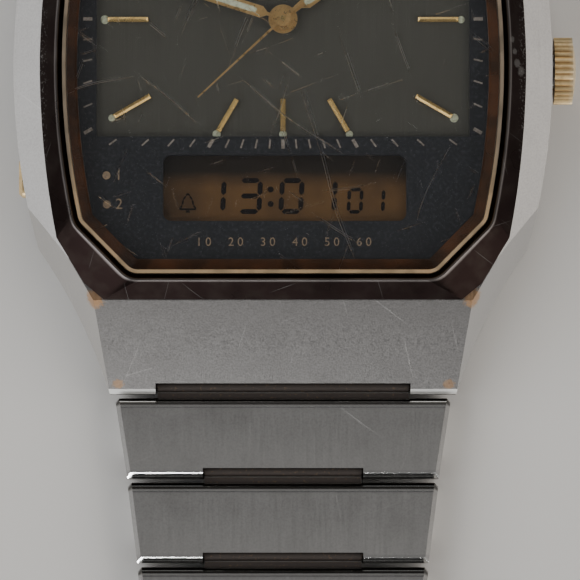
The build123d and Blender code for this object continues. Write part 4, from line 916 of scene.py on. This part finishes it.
segments = bmesh.new()
for digit, left in large_digits:
    draw_digit(segments, digit, left * MM, large_bottom, large_width, large_height, large_stroke)
for digit, left in small_digits:
    draw_digit(segments, digit, left * MM, small_bottom, small_width, small_height, small_stroke)
for x, y in colon_dots:
    turns = [number * math.tau / 12 for number in range(12)]
    ring = [(x + colon_radius * math.cos(turn), y + colon_radius * math.sin(turn)) for turn in turns]
    raise_outline(segments, ring, segment_top, letter_thickness)
for first, second in zip(bell_path, bell_path[1:]):
    start, end = (bell_centre + Vector(point) * MM for point in (first, second))
    raise_outline(segments, bar_outline(start, end, bell_stroke), segment_top, letter_thickness)
clapper = [bell_centre + Vector(point) * MM for point in clapper_corners]
raise_outline(segments, clapper, segment_top, letter_thickness)
keep_mesh("display_segments", segments, segment_finish.material, "case")

# Hands
# Stamped brass hands, gold plated, pressed on three nested pipes; the hour and minute hands carry a
# strip of the same aged luminous paint
hand_colour = (0.70, 0.47, 0.21, 1)
hour_direction = math.radians(54.0)
minute_direction = math.radians(287.5)
hour_strip = (1.6 * MM, 4.35 * MM, 0.42 * MM, 5.915 * MM)
minute_strip = (1.65 * MM, 6.5 * MM, 0.34 * MM, 6.195 * MM)
strip_thickness = 0.03 * MM
strip_root_taper = 0.3 * MM
strip_tip_taper = 0.8 * MM

hand_finish = mottled(
    "gold plated hands", hand_colour, baton_tarnish_colour, 1.0, 3300.0, 0.4, (0.26, 0.4), 0.006,
    start=0.5,
)
dress(hand_finish, "hour_hand", "minute_hand", "second_hand")


def paint_strip(name, direction, strip, body):
    inner, outer, width, top = strip
    along = Vector((math.sin(direction), math.cos(direction)))
    across = Vector((-along.y, along.x))
    root, shoulder = inner + strip_root_taper, outer - strip_tip_taper
    shape = (
        (inner, -0.32), (root, -0.5), (shoulder, -0.5), (outer, -0.12),
        (outer, 0.12), (shoulder, 0.5), (root, 0.5), (inner, 0.32),
    )
    outline = [dial_axis + along * reach - across * share * width for reach, share in reversed(shape)]
    form = bmesh.new()
    raise_outline(form, outline, top, strip_thickness)
    keep_mesh(name, form, lume_finish.material, body)


paint_strip("hour_hand_paint", hour_direction, hour_strip, "hours")
paint_strip("minute_hand_paint", minute_direction, minute_strip, "minutes")

# Module
# The works under the dial: a moulded frame, a green circuit board with its chip, can and trimmer, a
# button cell in a spring strap, a wound coil on an iron stator, and a brass train under its bridge
frame_colour = (0.030, 0.030, 0.034, 1)
frame_light_colour = (0.065, 0.065, 0.070, 1)
board_colour = (0.018, 0.095, 0.045, 1)
board_track_colour = (0.05, 0.20, 0.10, 1)
chip_colour = (0.014, 0.014, 0.015, 1)
chip_mark_colour = (0.06, 0.06, 0.062, 1)
cell_colour = (0.56, 0.555, 0.54, 1)
strap_colour = (0.48, 0.47, 0.44, 1)
copper_colour = (0.58, 0.22, 0.085, 1)
copper_dark_colour = (0.26, 0.085, 0.03, 1)
iron_colour = (0.25, 0.245, 0.24, 1)
bridge_colour = (0.60, 0.47, 0.23, 1)
wheel_colour = (0.66, 0.49, 0.21, 1)
wheel_dark_colour = (0.36, 0.24, 0.09, 1)
coil_turns_a_metre = 7500.0

frame_finish = mottled(
    "moulded frame", frame_colour, frame_light_colour, 0.0, 3500.0, 0.5, (0.45, 0.65), 0.02
)
dress(frame_finish, "module_frame")
board_finish = mottled(
    "lacquered board", board_colour, board_track_colour, 0.0, 1400.0, 0.6, (0.3, 0.5), 0.008
)
dress(board_finish, "circuit_board")
chip_finish = mottled("moulded chip", chip_colour, chip_mark_colour, 0.0, 4200.0, 0.4, (0.5, 0.7), 0.01)
dress(chip_finish, "circuit_parts")
cell_finish = mottled("nickelled cell", cell_colour, grime_and_shade_colour, 1.0, 900.0, 0.25, (0.22, 0.4), 0.006)
dress(cell_finish, "battery")
strap_finish = mottled(
    "spring strap steel", strap_colour, grime_and_shade_colour, 1.0, 1700.0, 0.3, (0.25, 0.45), 0.006
)
dress(strap_finish, "battery_strap")
iron_finish = mottled("annealed iron", iron_colour, grime_and_shade_colour, 1.0, 1500.0, 0.45, (0.4, 0.6), 0.01)
dress(iron_finish, "stator")

coil_finish = Finish("wound copper", copper_colour, 1.0)
coil_turns = coil_finish.brushed(coil_turns_a_metre, 0.002)["Grain"]
coil_finish.lay_where(coil_turns, 0.4, 0.6, copper_dark_colour, 0.8)
coil_finish.roughen(coil_finish.spread(coil_turns, 0.28, 0.45, 0.35, 0.65))
coil_finish.bump(0.05, (coil_turns, 1.0))
dress(coil_finish, "coil")

bridge_finish = Finish("grained brass bridge", bridge_colour, 1.0)
bridge_grain = bridge_finish.brushed(8000.0, 0.03, 0.6)["Grain"]
bridge_finish.lay_where(bridge_grain, 0.4, 0.68, wheel_dark_colour, 0.5)
bridge_finish.roughen(bridge_finish.spread(bridge_grain, 0.26, 0.42, 0.35, 0.7))
bridge_finish.bump(0.01, (bridge_grain, 0.6))
dress(bridge_finish, "train_bridge")

wheel_finish = mottled(
    "cut brass wheels", wheel_colour, wheel_dark_colour, 1.0, 2400.0, 0.6, (0.22, 0.42), 0.006
)
dress(wheel_finish, "rotor", "intermediate_wheel", "second_wheel", "third_wheel")
dress(wheel_finish, "centre_wheel", "minute_wheel", "hour_wheel")

# Crown, stem and buttons
# A knurled gold plated crown on a steel stem, its domed end rubbed bright and its grooves painted dark
# as painted shade with old dirt, and two gold plated buttons in the left side that springs push back out
crown_colour = (1.0, 0.76, 0.41, 1)
crown_bright_colour = (0.95, 0.82, 0.58, 1)
crown_bare_colour = (0.50, 0.34, 0.17, 1)
crown_groove_shade_and_dirt_colour = (0.30, 0.165, 0.06, 1)
crown_axis_z = 3.0 * MM
crown_dome_x = (17.0 * MM, 17.4 * MM)
crown_grooves_end_x = 17.28 * MM
crown_groove_radii = (1.885 * MM, 1.965 * MM)
stem_colour = (0.44, 0.435, 0.42, 1)

crown_finish = mottled(
    "worn gold plate", crown_colour, crown_bare_colour, 1.0, 1900.0, 0.4, (0.34, 0.55), 0.02,
    start=0.5,
)
crown_x = crown_finish.along("X")
crown_place = add_vector(crown_finish.tree, y=crown_finish.along("Y"), z=crown_finish.along("Z"))
crown_radius = add_vector_math(crown_finish.tree, "DISTANCE", crown_place, (0, 0, crown_axis_z), "Value")
crown_grooves = crown_finish.times(
    crown_finish.spread(crown_radius, 1, 0, *crown_groove_radii),
    crown_finish.math("LESS_THAN", crown_x, crown_grooves_end_x),
)
# Painted shade with old dirt in the grooves of the knurl
crown_finish.lay(crown_grooves, crown_groove_shade_and_dirt_colour, 0.75)
crown_finish.lay_where(crown_x, *crown_dome_x, crown_bright_colour, 0.75)
dress(crown_finish, "crown")

button_finish = mottled(
    "gold plated buttons", crown_colour, crown_bare_colour, 1.0, 2100.0, 0.6, (0.25, 0.45), 0.01
)
dress(button_finish, "pusher_upper", "pusher_lower")
stem_finish = mottled(
    "hardened stem steel", stem_colour, grime_and_shade_colour, 1.0, 2800.0, 0.3, (0.22, 0.4), 0.006
)
dress(stem_finish, "stem", "setting_yoke", "pusher_spring_upper", "pusher_spring_lower")

# Bracelet links
# Solid steel blocks brushed lengthwise on their broad faces, with one edge ground and polished to a bevel
# painted bright as a painted highlight; the rounded edges of their tops are painted shade and one end of
# each block is painted lighter, and painted shade with dust and old oil fills the gaps round their hinge
# eyes
link_colour = (0.385, 0.38, 0.374, 1)
rounded_edge_shade_colour = (0.055, 0.052, 0.048, 1)
link_bevel_sideways = 0.707
rounded_edge_leans = (0.15, 0.35)
lighter_end_shares = (0.45, 0.85)
links_a_side = 9

link_finish = Finish("brushed link steel", link_colour, 1.0)
link_grain = link_finish.brushed(19000.0, 0.03)
link_marks = link_finish.scratched(280.0, 0.009, 0.37)
link_finish.lay_where(link_grain["Grain"], 0.35, 0.72, wear_and_lit_colour, 0.05)
link_finish.lay_where(link_finish.noise(9000.0, 4.0), 0.4, 0.7, grime_and_shade_colour, 0.16)
link_finish.lay_where(link_grain["Patches"], 0.5, 0.8, grime_and_shade_colour, 0.15)
link_finish.lay(link_marks, wear_and_lit_colour, 0.22)
# Painted light: one end of each link's top is painted lighter
link_row = link_finish.math("ADD", link_finish.along("Y"), first_hinge_y)
link_step = link_finish.math("FRACT", link_finish.times(link_row, -1 / hinge_pitch))
link_finish.lay_where(link_step, *lighter_end_shares, wear_and_lit_colour, 0.16)
# Painted shade and flecks of dust in the low places by the hinges
link_finish.fleck_hinges(0.5)
link_lean = link_finish.math("ABSOLUTE", link_finish.facing()["Y"])
# Painted shade along the rounded edges of each link's top
rounded_edge = link_finish.times(
    link_finish.spread(link_lean, 0, 1, *rounded_edge_leans),
    link_finish.spread(link_finish.along("Z"), 0, 1, *knuckle_top_z),
)
link_finish.lay(rounded_edge, rounded_edge_shade_colour, 0.88)
# Painted highlight: the polished bevel is painted nearly white
link_finish.lay(link_finish.turned_by(link_bevel_sideways), bevel_highlight_colour, 1.0)
link_roughness = link_finish.spread(link_grain["Grain"], 0.40, 0.44, 0.3, 0.7)
link_finish.roughen(link_finish.raised(link_roughness, rounded_edge, -0.31))
link_finish.bump(0.005, (link_grain["Grain"], 0.5), (link_marks, -0.6))
for number in range(1, links_a_side + 1):
    dress(link_finish, f"link_12_side_{number}", f"link_6_side_{number}")

# Clasp
# A folded steel cover, brushed like the links, over two sprung blades that stay bright where the
# cover hides them
clasp_colour = (0.40, 0.395, 0.385, 1)
blade_colour = (0.52, 0.515, 0.50, 1)

clasp_finish = Finish("brushed clasp steel", clasp_colour, 1.0)
clasp_grain = clasp_finish.brushed(9000.0, 0.03)
clasp_marks = clasp_finish.scratched(300.0, 0.009, 0.38)
clasp_finish.lay_where(clasp_grain["Grain"], 0.35, 0.72, wear_and_lit_colour, 0.3)
clasp_finish.lay_where(clasp_grain["Patches"], 0.5, 0.8, grime_and_shade_colour, 0.2)
clasp_finish.lay(clasp_marks, wear_and_lit_colour, 0.25)
clasp_finish.roughen(clasp_finish.spread(clasp_grain["Grain"], 0.3, 0.45, 0.3, 0.7))
clasp_finish.bump(0.012, (clasp_grain["Grain"], 0.5), (clasp_marks, -0.8))
dress(clasp_finish, "clasp_cover")

blade_finish = Finish("bright blade steel", blade_colour, 1.0)
blade_grain = blade_finish.brushed(6000.0, 0.02)
blade_finish.lay_where(blade_grain["Patches"], 0.5, 0.8, grime_and_shade_colour, 0.25)
blade_finish.roughen(blade_finish.spread(blade_grain["Grain"], 0.2, 0.34, 0.3, 0.7))
blade_finish.bump(0.008, (blade_grain["Grain"], 0.5))
dress(blade_finish, "clasp_blade_long", "clasp_blade_short")

# Floor, lights and camera
# A pale matt table under four soft boxes, seen by a camera almost straight above the dial's lower half
floor_reach = 0.6
floor_colour = (0.72, 0.71, 0.69, 1)
world_colour = (0.5, 0.5, 0.5, 1)
world_strength = 0.22
frame_width = 34.44 * MM
sensor_width = 36.0
camera_distance = 0.34
camera_tilt = math.radians(3.0)
camera_target = Vector((0.416 * MM, -13.22 * MM, 5.0 * MM))

bpy.ops.mesh.primitive_plane_add(size=2 * floor_reach, location=(0, 0, cad_low.z))
floor = bpy.context.object
floor.name = "floor"
floor.data.materials.append(Finish("pale table", floor_colour, 0.0, 0.8).material)


def add_soft_box(name, place, target, width, length, power, colour=(1, 1, 1)):
    light = bpy.data.lights.new(name, "AREA")
    light.shape = "RECTANGLE"
    light.size = width
    light.size_y = length
    light.energy = power
    light.color = colour
    lamp = bpy.data.objects.new(name, light)
    lamp.location = place
    lamp.rotation_euler = (Vector(target) - Vector(place)).to_track_quat("-Z", "Y").to_euler()
    bpy.context.collection.objects.link(lamp)


add_soft_box("left_box", (-0.49, -0.14, 0.40), (0, -0.02, 0), 1.15, 0.55, 4.1)
add_soft_box("right_box", (0.49, -0.14, 0.40), (0, -0.02, 0), 1.15, 0.55, 3.8, (1, 0.95, 0.89))
add_soft_box("back_box", (0, 0.36, 0.38), (0, 0, 0), 0.22, 0.2, 0.17)
add_soft_box("low_box", (-0.17, -0.46, 0.026), (0, 0, 0.002), 0.33, 0.042, 0.95)

world = bpy.data.worlds.new("studio")
world.use_nodes = True
background = world.node_tree.nodes["Background"].inputs
background["Color"].default_value = world_colour
background["Strength"].default_value = world_strength
bpy.context.scene.world = world

camera_data = bpy.data.cameras.new("photo_camera")
camera_data.sensor_width = sensor_width
camera_data.lens = sensor_width * camera_distance / frame_width
camera = bpy.data.objects.new("photo_camera", camera_data)
camera_direction = Vector((0, -math.sin(camera_tilt), math.cos(camera_tilt)))
camera.location = camera_target + camera_distance * camera_direction
camera.rotation_euler = (camera_tilt, 0, 0)
bpy.context.collection.objects.link(camera)
bpy.context.scene.camera = camera
